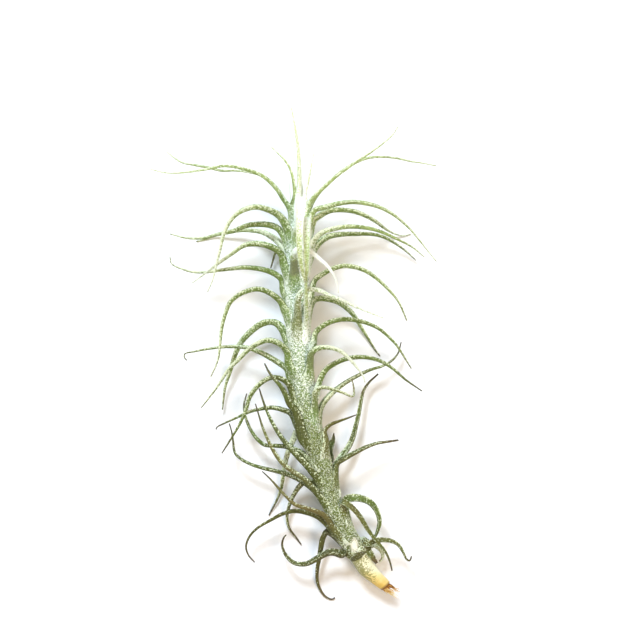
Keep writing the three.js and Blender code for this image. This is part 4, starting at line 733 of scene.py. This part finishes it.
leafSkin = {
    # tissue by age, on the blade and on the sheaths that wrap the stem
    "blade": [(0, "#dce4ac"), (0.3, "#a9bb70"), (0.5, "#72873e"), (0.65, "#63762c"), (0.8, "#566022"),
              (1, "#494c18")],
    "sheath": [(0, "#dbe6bc"), (0.35, "#a2ba82"), (0.5, "#869f66"), (0.65, "#738a45"), (0.8, "#636f2c"),
               (1, "#565a20")],
    "dry": "#8f7246",
    "tip": "#4b4233",  # the last part of a grown blade
    # painted shade: the colour that a leaf's bare base darkens to where it stands in shade
    "axil": "#8c8f68",
    "silver": "#f4f8ec",  # scales over the green
    "dust": "#e1eac2",  # the thinner ones on a blade, with the green showing through
    "papery": {"at": (12.7, -39.3, 8.2), "stretch": (1.3, 0.75, 0.6), "reach": (1.5, 2.3),
               "colour": "#fff9e4"},
    # how far a young blade is covered by scales, and what each of the others adds; what the margins add is
    # partly painted highlight
    "cover": {"blade": 0.55, "age": -0.35, "sheath": 0.18, "tip": -0.5, "margin": 1.0, "along": 0.2,
              "bleach": 1.0, "dark": -0.6},
    "cellSize": 0.3,  # one scale: real ones may be finer, and this is as coarse as it needs to be to show
    "grainSize": 0.24,  # cells of the tissue, far too fine to show: drawn about a pixel wide
    "mottleSize": 2.2,  # lighter and darker patches of tissue
    "roughness": 0.66,
    "relief": (0.6, 0.05),  # how strong the scales' bump is, and how deep
}


def newMaterial(name, roughness):
    made = bpy.data.materials.new(name)
    made.use_nodes = True
    tree = made.node_tree
    shader = next(n for n in tree.nodes if n.type == "BSDF_PRINCIPLED")
    shader.inputs["Roughness"].default_value = roughness
    return made, tree, shader


# A colour ramp with the given stops
def addRamp(tree, factor, stops):
    node = addNode(tree, "ShaderNodeValToRGB", [factor])
    elements = node.color_ramp.elements
    while len(elements) < len(stops):
        elements.new(0.5)
    for element, (at, colour) in zip(elements, stops):
        element.position = at
        element.color = hexToLinear(colour)
    return node


# Gives a shader its colour and, where there is a relief, its bump
def paint(tree, shader, colour, height=None, relief=(0, 0)):
    tree.links.new(firstOutput(colour), shader.inputs["Base Color"])
    if height is not None:
        strength, depth = relief
        bump = addNode(tree, "ShaderNodeBump",
                       {"Strength": strength, "Distance": depth * mm, "Height": height})
        tree.links.new(bump.outputs["Normal"], shader.inputs["Normal"])


# A bromeliad's leaf skin: soft green tissue under silver scales. It gives a dull, grainy, frosted surface.
def scaledLeafMaterial():
    made, tree, shader = newMaterial("scaledLeafSkin", leafSkin["roughness"])
    place = addNode(tree, "ShaderNodeTexCoord").outputs["Object"]
    tone = addNode(tree, "ShaderNodeAttribute", attribute_name="tone").outputs["Vector"]
    age, bleach, tan = addNode(tree, "ShaderNodeSeparateXYZ", [tone]).outputs
    clasp, margin, along, dark, core = (
        addNode(tree, "ShaderNodeAttribute", attribute_name=key).outputs["Fac"]
        for key in ("clasp", "margin", "along", "dark", "core"))

    mottle = addNode(tree, "ShaderNodeTexNoise",
                     {"Vector": place, "Scale": 1 / (leafSkin["mottleSize"] * mm), "Detail": 3.0})
    shift = addNode(tree, "ShaderNodeMapRange", [mottle.outputs["Fac"], 0.3, 0.7, -0.08, 0.08])
    ageing = addNode(tree, "ShaderNodeMath", [age, shift], operation="ADD")
    ageing = addNode(tree, "ShaderNodeMath", [along, -0.15, ageing], operation="MULTIPLY_ADD")
    blade = addRamp(tree, ageing, leafSkin["blade"])
    sheath = addRamp(tree, ageing, leafSkin["sheath"])
    tissue = addNode(tree, "ShaderNodeMix", [clasp, blade, sheath], data_type="RGBA")
    # older tips dry first, and grown ones end dark
    tipDry = addNode(tree, "ShaderNodeMapRange", [along, 0.75, 1.0, 0.0, 0.45])
    tipDry = addNode(tree, "ShaderNodeMath", [tipDry, age], operation="MULTIPLY")
    drying = addNode(tree, "ShaderNodeMath", [tan, tipDry], operation="ADD", use_clamp=True)
    grown = addNode(tree, "ShaderNodeMapRange", [age, 0.42, 0.65, 0.0, 0.85])
    ending = addNode(tree, "ShaderNodeMapRange", [along, 0.72, 0.98, 0.0, 1.0])
    ending = addNode(tree, "ShaderNodeMath", [ending, grown], operation="MULTIPLY")
    # painted shade on the bare stretch of a leaf's base, where it stands in shade
    shaded = addNode(tree, "ShaderNodeMath", [dark, 0.85], operation="MULTIPLY")
    for share, key in ((drying, "dry"), (ending, "tip"), (shaded, "axil")):
        tissue = addNode(tree, "ShaderNodeMix", [share, tissue, hexToLinear(leafSkin[key])], data_type="RGBA")
    grain = addNode(tree, "ShaderNodeTexNoise",
                    {"Vector": place, "Scale": 1 / (leafSkin["grainSize"] * mm), "Detail": 2.0})
    grain = addNode(tree, "ShaderNodeMapRange", [grain.outputs["Fac"], 0.3, 0.7, 0.55, 1.22])
    tissue = addNode(tree, "ShaderNodeVectorMath", {"Vector": tissue, "Scale": grain}, operation="SCALE")

    # each cell of the pattern is one scale, and the better the cover, the further each one reaches
    cells = addNode(tree, "ShaderNodeTexVoronoi", {"Vector": place, "Scale": 1 / (leafSkin["cellSize"] * mm)})
    chance = addNode(tree, "ShaderNodeSeparateXYZ", [cells.outputs["Color"]]).outputs["X"]
    # pale margins: partly scales crowding at a leaf's edges, partly painted highlight where light catches the
    # edges
    rim = addNode(tree, "ShaderNodeMapRange", [margin, 0.35, 0.8, 0.0, 0.45])
    cover = leafSkin["cover"]["blade"]
    for key, value in (("age", age), ("sheath", clasp), ("tip", ending), ("margin", rim), ("along", along),
                       ("bleach", bleach), ("dark", dark)):
        cover = addNode(tree, "ShaderNodeMath", [value, leafSkin["cover"][key], cover],
                        operation="MULTIPLY_ADD")
    reach = addNode(tree, "ShaderNodeMath", [chance, 0.3, -0.15], operation="MULTIPLY_ADD")
    reach = addNode(tree, "ShaderNodeMath", [cover, 0.62, reach], operation="MULTIPLY_ADD")
    shown = addNode(tree, "ShaderNodeMath", [reach, cells.outputs["Distance"]], operation="SUBTRACT")
    shown = addNode(tree, "ShaderNodeMapRange", [shown, -0.08, 0.08, 0.0, 1.0])
    # past full cover the scales run together into one pale coat
    merged = addNode(tree, "ShaderNodeMapRange", [cover, 0.8, 1.3, 0.0, 0.9])
    shown = addNode(tree, "ShaderNodeMath", [shown, merged], operation="MAXIMUM")
    bright = addNode(tree, "ShaderNodeMath", [age, -1.5, 0.75], operation="MULTIPLY_ADD")
    bright = addNode(tree, "ShaderNodeMath", [bright, clasp], operation="ADD")
    bright = addNode(tree, "ShaderNodeMath", [bright, bleach], operation="ADD", use_clamp=True)
    silver = [hexToLinear(leafSkin[key]) for key in ("dust", "silver")]
    silver = addNode(tree, "ShaderNodeMix", [bright, *silver], data_type="RGBA")
    skin = addNode(tree, "ShaderNodeMix", [shown, tissue, silver], data_type="RGBA")

    # one papery patch low on the stem, where the scales have gone
    papery = leafSkin["papery"]
    away = addNode(tree, "ShaderNodeVectorMath", [place, Vector(papery["at"]) * mm], operation="SUBTRACT")
    away = addNode(tree, "ShaderNodeVectorMath", [away, papery["stretch"]], operation="MULTIPLY")
    away = addNode(tree, "ShaderNodeVectorMath", [away], operation="LENGTH")
    away = addNode(tree, "ShaderNodeMath", [grain, mm, away.outputs["Value"]], operation="MULTIPLY_ADD")
    near, far = papery["reach"]
    patch = addNode(tree, "ShaderNodeMapRange", [away, near * mm, far * mm, 0.9, 0.0])
    skin = addNode(tree, "ShaderNodeMix", [patch, skin, hexToLinear(papery["colour"])], data_type="RGBA")

    # at its foot the leafy stem ends in a dark ring and is bare below it
    down = addNode(tree, "ShaderNodeVectorMath", [place, bareStem["along"]], operation="DOT_PRODUCT")
    down = addNode(tree, "ShaderNodeMath", [mottle.outputs["Fac"], 1.5 * mm, down.outputs["Value"]],
                   operation="MULTIPLY_ADD")
    for colour, past in bareStem["bands"].items():
        start = bareStem["ring"] + past
        below = addNode(tree, "ShaderNodeMapRange", [down, start * mm, (start + 0.2) * mm, 0.0, 0.9])
        below = addNode(tree, "ShaderNodeMath", [below, core], operation="MULTIPLY")
        skin = addNode(tree, "ShaderNodeMix", [below, skin, hexToLinear(bareStem[colour])], data_type="RGBA")
    paint(tree, shader, skin, shown, leafSkin["relief"])
    return made


# The scales themselves, dead air-filled cells: white on the sheaths, thin and tinted on the blades, and
# always dull.
def silverScaleMaterial():
    made, tree, shader = newMaterial("silverScale", scales["roughness"])
    place = addNode(tree, "ShaderNodeTexCoord").outputs["Object"]
    tone = addNode(tree, "ShaderNodeAttribute", attribute_name="tone").outputs["Vector"]
    age, bleach, tan = addNode(tree, "ShaderNodeSeparateXYZ", [tone]).outputs
    clasp = addNode(tree, "ShaderNodeAttribute", attribute_name="clasp").outputs["Fac"]
    drift = addNode(tree, "ShaderNodeTexNoise",
                    {"Vector": place, "Scale": 1 / (scales["driftSize"] * mm), "Detail": 1.0})
    light = addNode(tree, "ShaderNodeMapRange", [drift.outputs["Fac"], 0.35, 0.65, -0.42, 0.42])
    for value, weight in ((clasp, 0.75), (bleach, 0.6), (age, -1.1)):
        light = addNode(tree, "ShaderNodeMath", [value, weight, light], operation="MULTIPLY_ADD")
    light = addNode(tree, "ShaderNodeMath", [light, 0.65], operation="ADD", use_clamp=True)
    ramp = addRamp(tree, light, scales["colours"])
    dried = addNode(tree, "ShaderNodeMath", [tan, 0.7], operation="MULTIPLY", use_clamp=True)
    tint = addNode(tree, "ShaderNodeMix", [dried, ramp, hexToLinear(scales["dried"])], data_type="RGBA")
    paint(tree, shader, tint)
    return made


bareStem = {
    "cream": "#f4f0ca",
    "gold": "#f0e09a",
    "ochre": "#dfbb5c",
    "olive": "#86843f",
    "brown": "#7a4f22",
    "node": "#4f4a1e",  # the ring where the lowest leaves sat
    "along": (0.655, -0.756, 0),  # the way it points
    "across": (0.756, 0.655, 0),
    "ring": 39.75,  # where the leafy stem's ring, the bare stem's top and its torn end are, along that way
    "start": 40.6,
    "end": 49.1,
    "bands": {"node": 0.65, "cream": 1.9},  # how far past the ring's place these colours start
    "middle": -17.1,  # across it, and how far its colours reach on both sides
    "half": 1.75,
    "waist": 0.84,  # how far it thins towards the tear, and from which Y
    "thinsFrom": -44,
    "overlap": 0.3,  # how far it reaches into the leafy stem
    "points": 40,
    "unevenness": 0.12,
    "grainSize": 0.9,  # streaks in the rind
    "speckSize": 0.2,  # flecks of skin left on it, about a pixel wide so that they show
    "roughness": 0.45,
    "relief": (0.3, 0.05),
}


# Living stem with its bark rubbed off: smooth, a little waxy, cream at the leaves and golden at the tear.
# Across it, it is paler on the upper right and more golden on the lower left: partly its own colour, partly
# painted highlight and shade.
def bareStemMaterial():
    made, tree, shader = newMaterial("bareStemRind", bareStem["roughness"])
    place = addNode(tree, "ShaderNodeTexCoord").outputs["Object"]
    along = addNode(tree, "ShaderNodeVectorMath", [place, bareStem["along"]], operation="DOT_PRODUCT")
    height = addNode(tree, "ShaderNodeMapRange",
                     [along, bareStem["start"] * mm, bareStem["end"] * mm, 0.0, 1.0])
    across = addNode(tree, "ShaderNodeVectorMath", [place, bareStem["across"]], operation="DOT_PRODUCT")
    left, right = bareStem["middle"] - bareStem["half"], bareStem["middle"] + bareStem["half"]
    aside = addNode(tree, "ShaderNodeMapRange", [across, left * mm, right * mm, 0.0, 1.0])
    grain = addNode(tree, "ShaderNodeTexNoise",
                    {"Vector": place, "Scale": 1 / (bareStem["grainSize"] * mm), "Detail": 4.0})
    mixed = addNode(tree, "ShaderNodeMath", [grain.outputs["Fac"], 0.3, height], operation="MULTIPLY_ADD")
    # partly painted highlight and shade: paler across towards the lit upper right side
    mixed = addNode(tree, "ShaderNodeMath", [aside, -0.5, mixed], operation="MULTIPLY_ADD")
    skin = addRamp(tree, mixed, [(0, bareStem["cream"]), (0.3, bareStem["cream"]), (0.5, bareStem["gold"]),
                                 (0.85, bareStem["ochre"]), (1, bareStem["ochre"])])
    torn = addNode(tree, "ShaderNodeMapRange", [height, 0.94, 1.0, 0.0, 0.95])
    skin = addNode(tree, "ShaderNodeMix", [torn, skin, hexToLinear(bareStem["brown"])], data_type="RGBA")

    # green skin still clings along one side and round the top
    specks = addNode(tree, "ShaderNodeTexVoronoi",
                     {"Vector": place, "Scale": 1 / (bareStem["speckSize"] * mm)})
    chance = addNode(tree, "ShaderNodeSeparateXYZ", [specks.outputs["Color"]]).outputs["X"]
    cling = addNode(tree, "ShaderNodeMapRange", [aside, 0.15, 0.75, 0.95, 0.0])
    lower = addNode(tree, "ShaderNodeMapRange", [height, 0.45, 0.85, 1.0, 0.0])
    cling = addNode(tree, "ShaderNodeMath", [cling, lower], operation="MULTIPLY")
    top = addNode(tree, "ShaderNodeMapRange", [height, 0.0, 0.3, 1.0, 0.0])
    cling = addNode(tree, "ShaderNodeMath", [cling, top], operation="MAXIMUM")
    cling = addNode(tree, "ShaderNodeMath", [cling, chance], operation="SUBTRACT")
    cling = addNode(tree, "ShaderNodeMapRange", [cling, 0.0, 0.15, 0.0, 0.85])
    skin = addNode(tree, "ShaderNodeMix", [cling, skin, hexToLinear(bareStem["olive"])], data_type="RGBA")
    paint(tree, shader, skin, grain.outputs["Fac"], bareStem["relief"])
    return made


fibres = {
    "count": 60,
    "ring": 0.95,  # radius of the torn edge
    "length": (1.6, 4.6),
    "shorter": 0.35,  # how much shorter the outermost strands are
    "thickness": 0.08,
    "thicknesses": (0.7, 1.4),  # thinnest and thickest, as shares of this
    "tip": 0.25,  # a strand's thickness at its tip, as a share
    "spread": 0.4,
    "drift": (0.1, 0.1, 0),
    "curl": 0.45,
    "sag": 0.5,
    "root": 0.3,  # how deep in the stem a strand starts
    "lowest": 0.15,  # above the table
    "points": 14,
    "sides": 7,
    "unevenness": 0.12,
    "lumpSize": 0.5,
    "plug": [1, 1.1, 1.08, 1, 0.94, 0.88, 0.8, 0.66, 0.5, 0.3],  # radius of the torn pith, inside to end
    "plugFrom": -0.35,  # and where it starts and ends, from the tear
    "plugTo": 0.8,
    "seed": 12,
    "colours": [(0.24, "#8a5a24"), (0.4, "#d29c45"), (0.6, "#f3dc98")],
    "spotSize": 0.6,  # from a dark strand to a light one
    "roughness": 0.85,
}


# Torn plant fibre, dry and matt: red-brown where it leaves the stem, straw at its ends.
def tornFibreMaterial():
    made, tree, shader = newMaterial("tornStemFibre", fibres["roughness"])
    place = addNode(tree, "ShaderNodeTexCoord").outputs["Object"]
    parts = addNode(tree, "ShaderNodeSeparateXYZ", [place]).outputs
    spots = addNode(tree, "ShaderNodeTexNoise",
                    {"Vector": place, "Scale": 1 / (fibres["spotSize"] * mm), "Detail": 3.0})
    height = addNode(tree, "ShaderNodeMapRange",
                     [parts["Y"], stem["bareFoot"] * mm, (stem["bareFoot"] - 2) * mm, -0.25, 0.2])
    mixed = addNode(tree, "ShaderNodeMath", [spots.outputs["Fac"], height], operation="ADD")
    paint(tree, shader, addRamp(tree, mixed, fibres["colours"]))
    return made


# Pieces

# Every piece rides on the one body and stands for one node of the solids
def dress(piece, node):
    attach(piece, "root")
    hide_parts(node)


leafSkinMaterial = scaledLeafMaterial()
scaleMaterial = silverScaleMaterial()
groups = {
    "heart": heart,
    "frontLeaves": frontLeaves,
    "leftLeaves": leftLeaves,
    "rightLeaves": rightLeaves,
    "underLeaves": [underRow(i, foot) for i, foot in enumerate(underLeaves["feet"])],
}
bladeMaker = leafTree()
stalkMaker = stalkTree()
coatMaker = scaleTree()
print("trees built")

skins = []
for name, rows in groups.items():
    made = [leafPath(row) for row in rows]
    looks = {key: [path[key] for path in made] for key in made[0]}
    skins.append(growAlong(looks.pop("points"), looks, bladeMaker, name, material=leafSkinMaterial))
    print(name, len(rows), "leaves")

stemCore = {
    "overlap": 0.2,  # how far it reaches into the bare stem
    "top": 33.9,
    "points": 160,
    "extra": 0.05,  # added to the radius
    # Y and the tone there, as for the leaves
    "age": [(-42, 0.85), (-30, 0.8), (-18, 0.82), (-10, 0.7), (0, 0.56), (27, 0.35)],
    "bleach": [(-42, 0.05), (-36, 0.1), (-25, 0), (-18, -0.1), (-5, 0.15), (30, 0.3)],
    "coat": [(1.2, 0.05), (2, 0.9)],  # how thickly scales stand, by how far from the papery patch
    "footCoat": [(-0.2, 1), (0.1, 0.1)],  # and how that ends at the ring
}
middles, radii = stemStretch(stem["leafyFoot"] - stemCore["overlap"], stemCore["top"], stemCore["points"])
leafyStem = growAlong([middles], {"radius": [(radii + stemCore["extra"]) * mm]}, stalkMaker, "leafyStemCore",
                      material=leafSkinMaterial)
places = np.array([v.co[:] for v in leafyStem.data.vertices]) / mm
heights = places[:, 1]
whole = np.ones(len(heights))
giveAttribute(leafyStem.data, "clasp", whole)
giveAttribute(leafyStem.data, "core", whole)
worn = np.linalg.norm((places - leafSkin["papery"]["at"]) * leafSkin["papery"]["stretch"], axis=1)
coated = np.interp(worn, *zip(*stemCore["coat"]))
coated *= np.interp(places @ np.array(bareStem["along"]),
                    *zip(*[(bareStem["ring"] + past, share) for past, share in stemCore["footCoat"]]))
giveAttribute(leafyStem.data, "coat", coated)
age, bleach = (np.interp(heights, *zip(*stemCore[key])) for key in ("age", "bleach"))
giveAttribute(leafyStem.data, "tone", np.column_stack([age, bleach, whole * 0]))
skins.append(leafyStem)

for skin in skins:
    coat = growMesh(skin, coatMaker, skin.name + "Scales", material=scaleMaterial)
    dress(skin, "leafy_stem")
    dress(coat, "leafy_stem")
print("leaves and their scales made")

middles, radii = stemStretch(stem["bareFoot"], stem["leafyFoot"] + bareStem["overlap"], bareStem["points"])
radii *= np.interp(middles[:, 1], [stem["bareFoot"], bareStem["thinsFrom"]], [bareStem["waist"], 1])
stub = growAlong([middles], {"radius": [radii * mm]}, stalkMaker, "bareStem",
                 unevenness=bareStem["unevenness"] * mm, material=bareStemMaterial())
dress(stub, "bare_stem_end")


# Torn strands that leave the foot of the stem and splay and curl as they go, and the pith between them
def fibrePaths():
    draw = random.Random(fibres["seed"])
    middle, up, right, _ = stemAt(stem["bareFoot"])
    down = -unit(np.cross(up, right))
    bent = unit(down + np.array(fibres["drift"]))
    paths, radii = [], []
    for _ in range(fibres["count"]):
        turn = draw.uniform(0, math.tau)
        out = fibres["ring"] * math.sqrt(draw.uniform(0.05, 1))
        side = up * math.cos(turn) + right * math.sin(turn)
        length = draw.uniform(*fibres["length"]) * (1 - fibres["shorter"] * out / fibres["ring"])
        curl = np.array([draw.uniform(-fibres["curl"], fibres["curl"]) for _ in range(3)])
        start = middle + side * out
        route = [start - down * fibres["root"], start]
        for share in (0.35, 0.7, 1):
            splay = side * fibres["spread"] * out * share
            sag = np.array([0, 0, -fibres["sag"]]) * share ** 2
            route.append(start + bent * length * share + splay + curl * share ** 2 + sag)
        points, _ = smoothLine(route, fibres["points"])
        points[:, 2] = np.maximum(points[:, 2], fibres["lowest"])
        paths.append(points)
        thickness = fibres["thickness"] * draw.uniform(*fibres["thicknesses"]) * mm
        radii.append(np.linspace(1, fibres["tip"], fibres["points"]) * thickness)
    steps = np.linspace(fibres["plugFrom"], fibres["plugTo"], len(fibres["plug"]))
    paths.append(np.array([middle + down * step for step in steps]))
    radii.append(np.array(fibres["plug"]) * mm)
    return paths, radii


paths, radii = fibrePaths()
tuft = growAlong(paths, {"radius": radii}, stalkMaker, "frayedFibres", sides=fibres["sides"],
                 unevenness=fibres["unevenness"] * mm, lumpSize=fibres["lumpSize"] * mm,
                 material=tornFibreMaterial())
dress(tuft, "frayed_fibres")
print("bare end and fibres made")

# Table, light and camera

studio = {
    "tableSize": 3000,
    "paper": [(0, "#f6f6f6"), (1, "#fbfbfb")],
    "roughness": 0.9,
    "cloudSize": 3,  # its fibres are too fine to show, so it varies in soft clouds of this size
    "cool": {"at": (-68, 212, 360), "size": 95, "power": 1.9, "colour": "#e2f0ff"},
    "warm": {"at": (240, -150, 800), "size": 300, "power": 3, "colour": "#ffe3c2"},
    "sky": 0.375,  # how strong the white light is that comes from all round
}


# Smooth white paper: even, dull and near the top of the scale.
def tableMaterial():
    made, tree, shader = newMaterial("whitePaper", studio["roughness"])
    place = addNode(tree, "ShaderNodeTexCoord").outputs["Object"]
    fibre = addNode(tree, "ShaderNodeTexNoise",
                    {"Vector": place, "Scale": 1 / (studio["cloudSize"] * mm), "Detail": 3.0})
    paint(tree, shader, addRamp(tree, fibre.outputs["Fac"], studio["paper"]))
    return made


bpy.ops.mesh.primitive_plane_add(size=studio["tableSize"] * mm)
table = bpy.context.object
table.name = "table"
table.data.materials.append(tableMaterial())

for name in ("cool", "warm"):
    spec = studio[name]
    light = bpy.data.lights.new(name, "AREA")
    light.size = spec["size"] * mm
    light.energy = spec["power"]
    light.color = hexToLinear(spec["colour"])[:3]
    lamp = addObject(name, light)
    lamp.location = Vector(spec["at"]) * mm
    lamp.rotation_euler = (-lamp.location).to_track_quat("-Z", "Y").to_euler()

world = bpy.data.worlds.new("paleRoom")
world.use_nodes = True
sky = world.node_tree.nodes["Background"]
sky.inputs["Strength"].default_value = studio["sky"]
sky.inputs["Color"].default_value = (1, 1, 1, 1)
bpy.context.scene.world = world
bpy.context.scene.view_settings.view_transform = "Standard"

lens = bpy.data.cameras.new("overhead")
lens.lens = view["lens"]
lens.sensor_width = view["sensor"]
lens.clip_start = view["nearest"] * mm
camera = addObject("overhead", lens)
camera.location = Vector((*view["over"], view["height"])) * mm
bpy.context.scene.camera = camera
print("stage set")
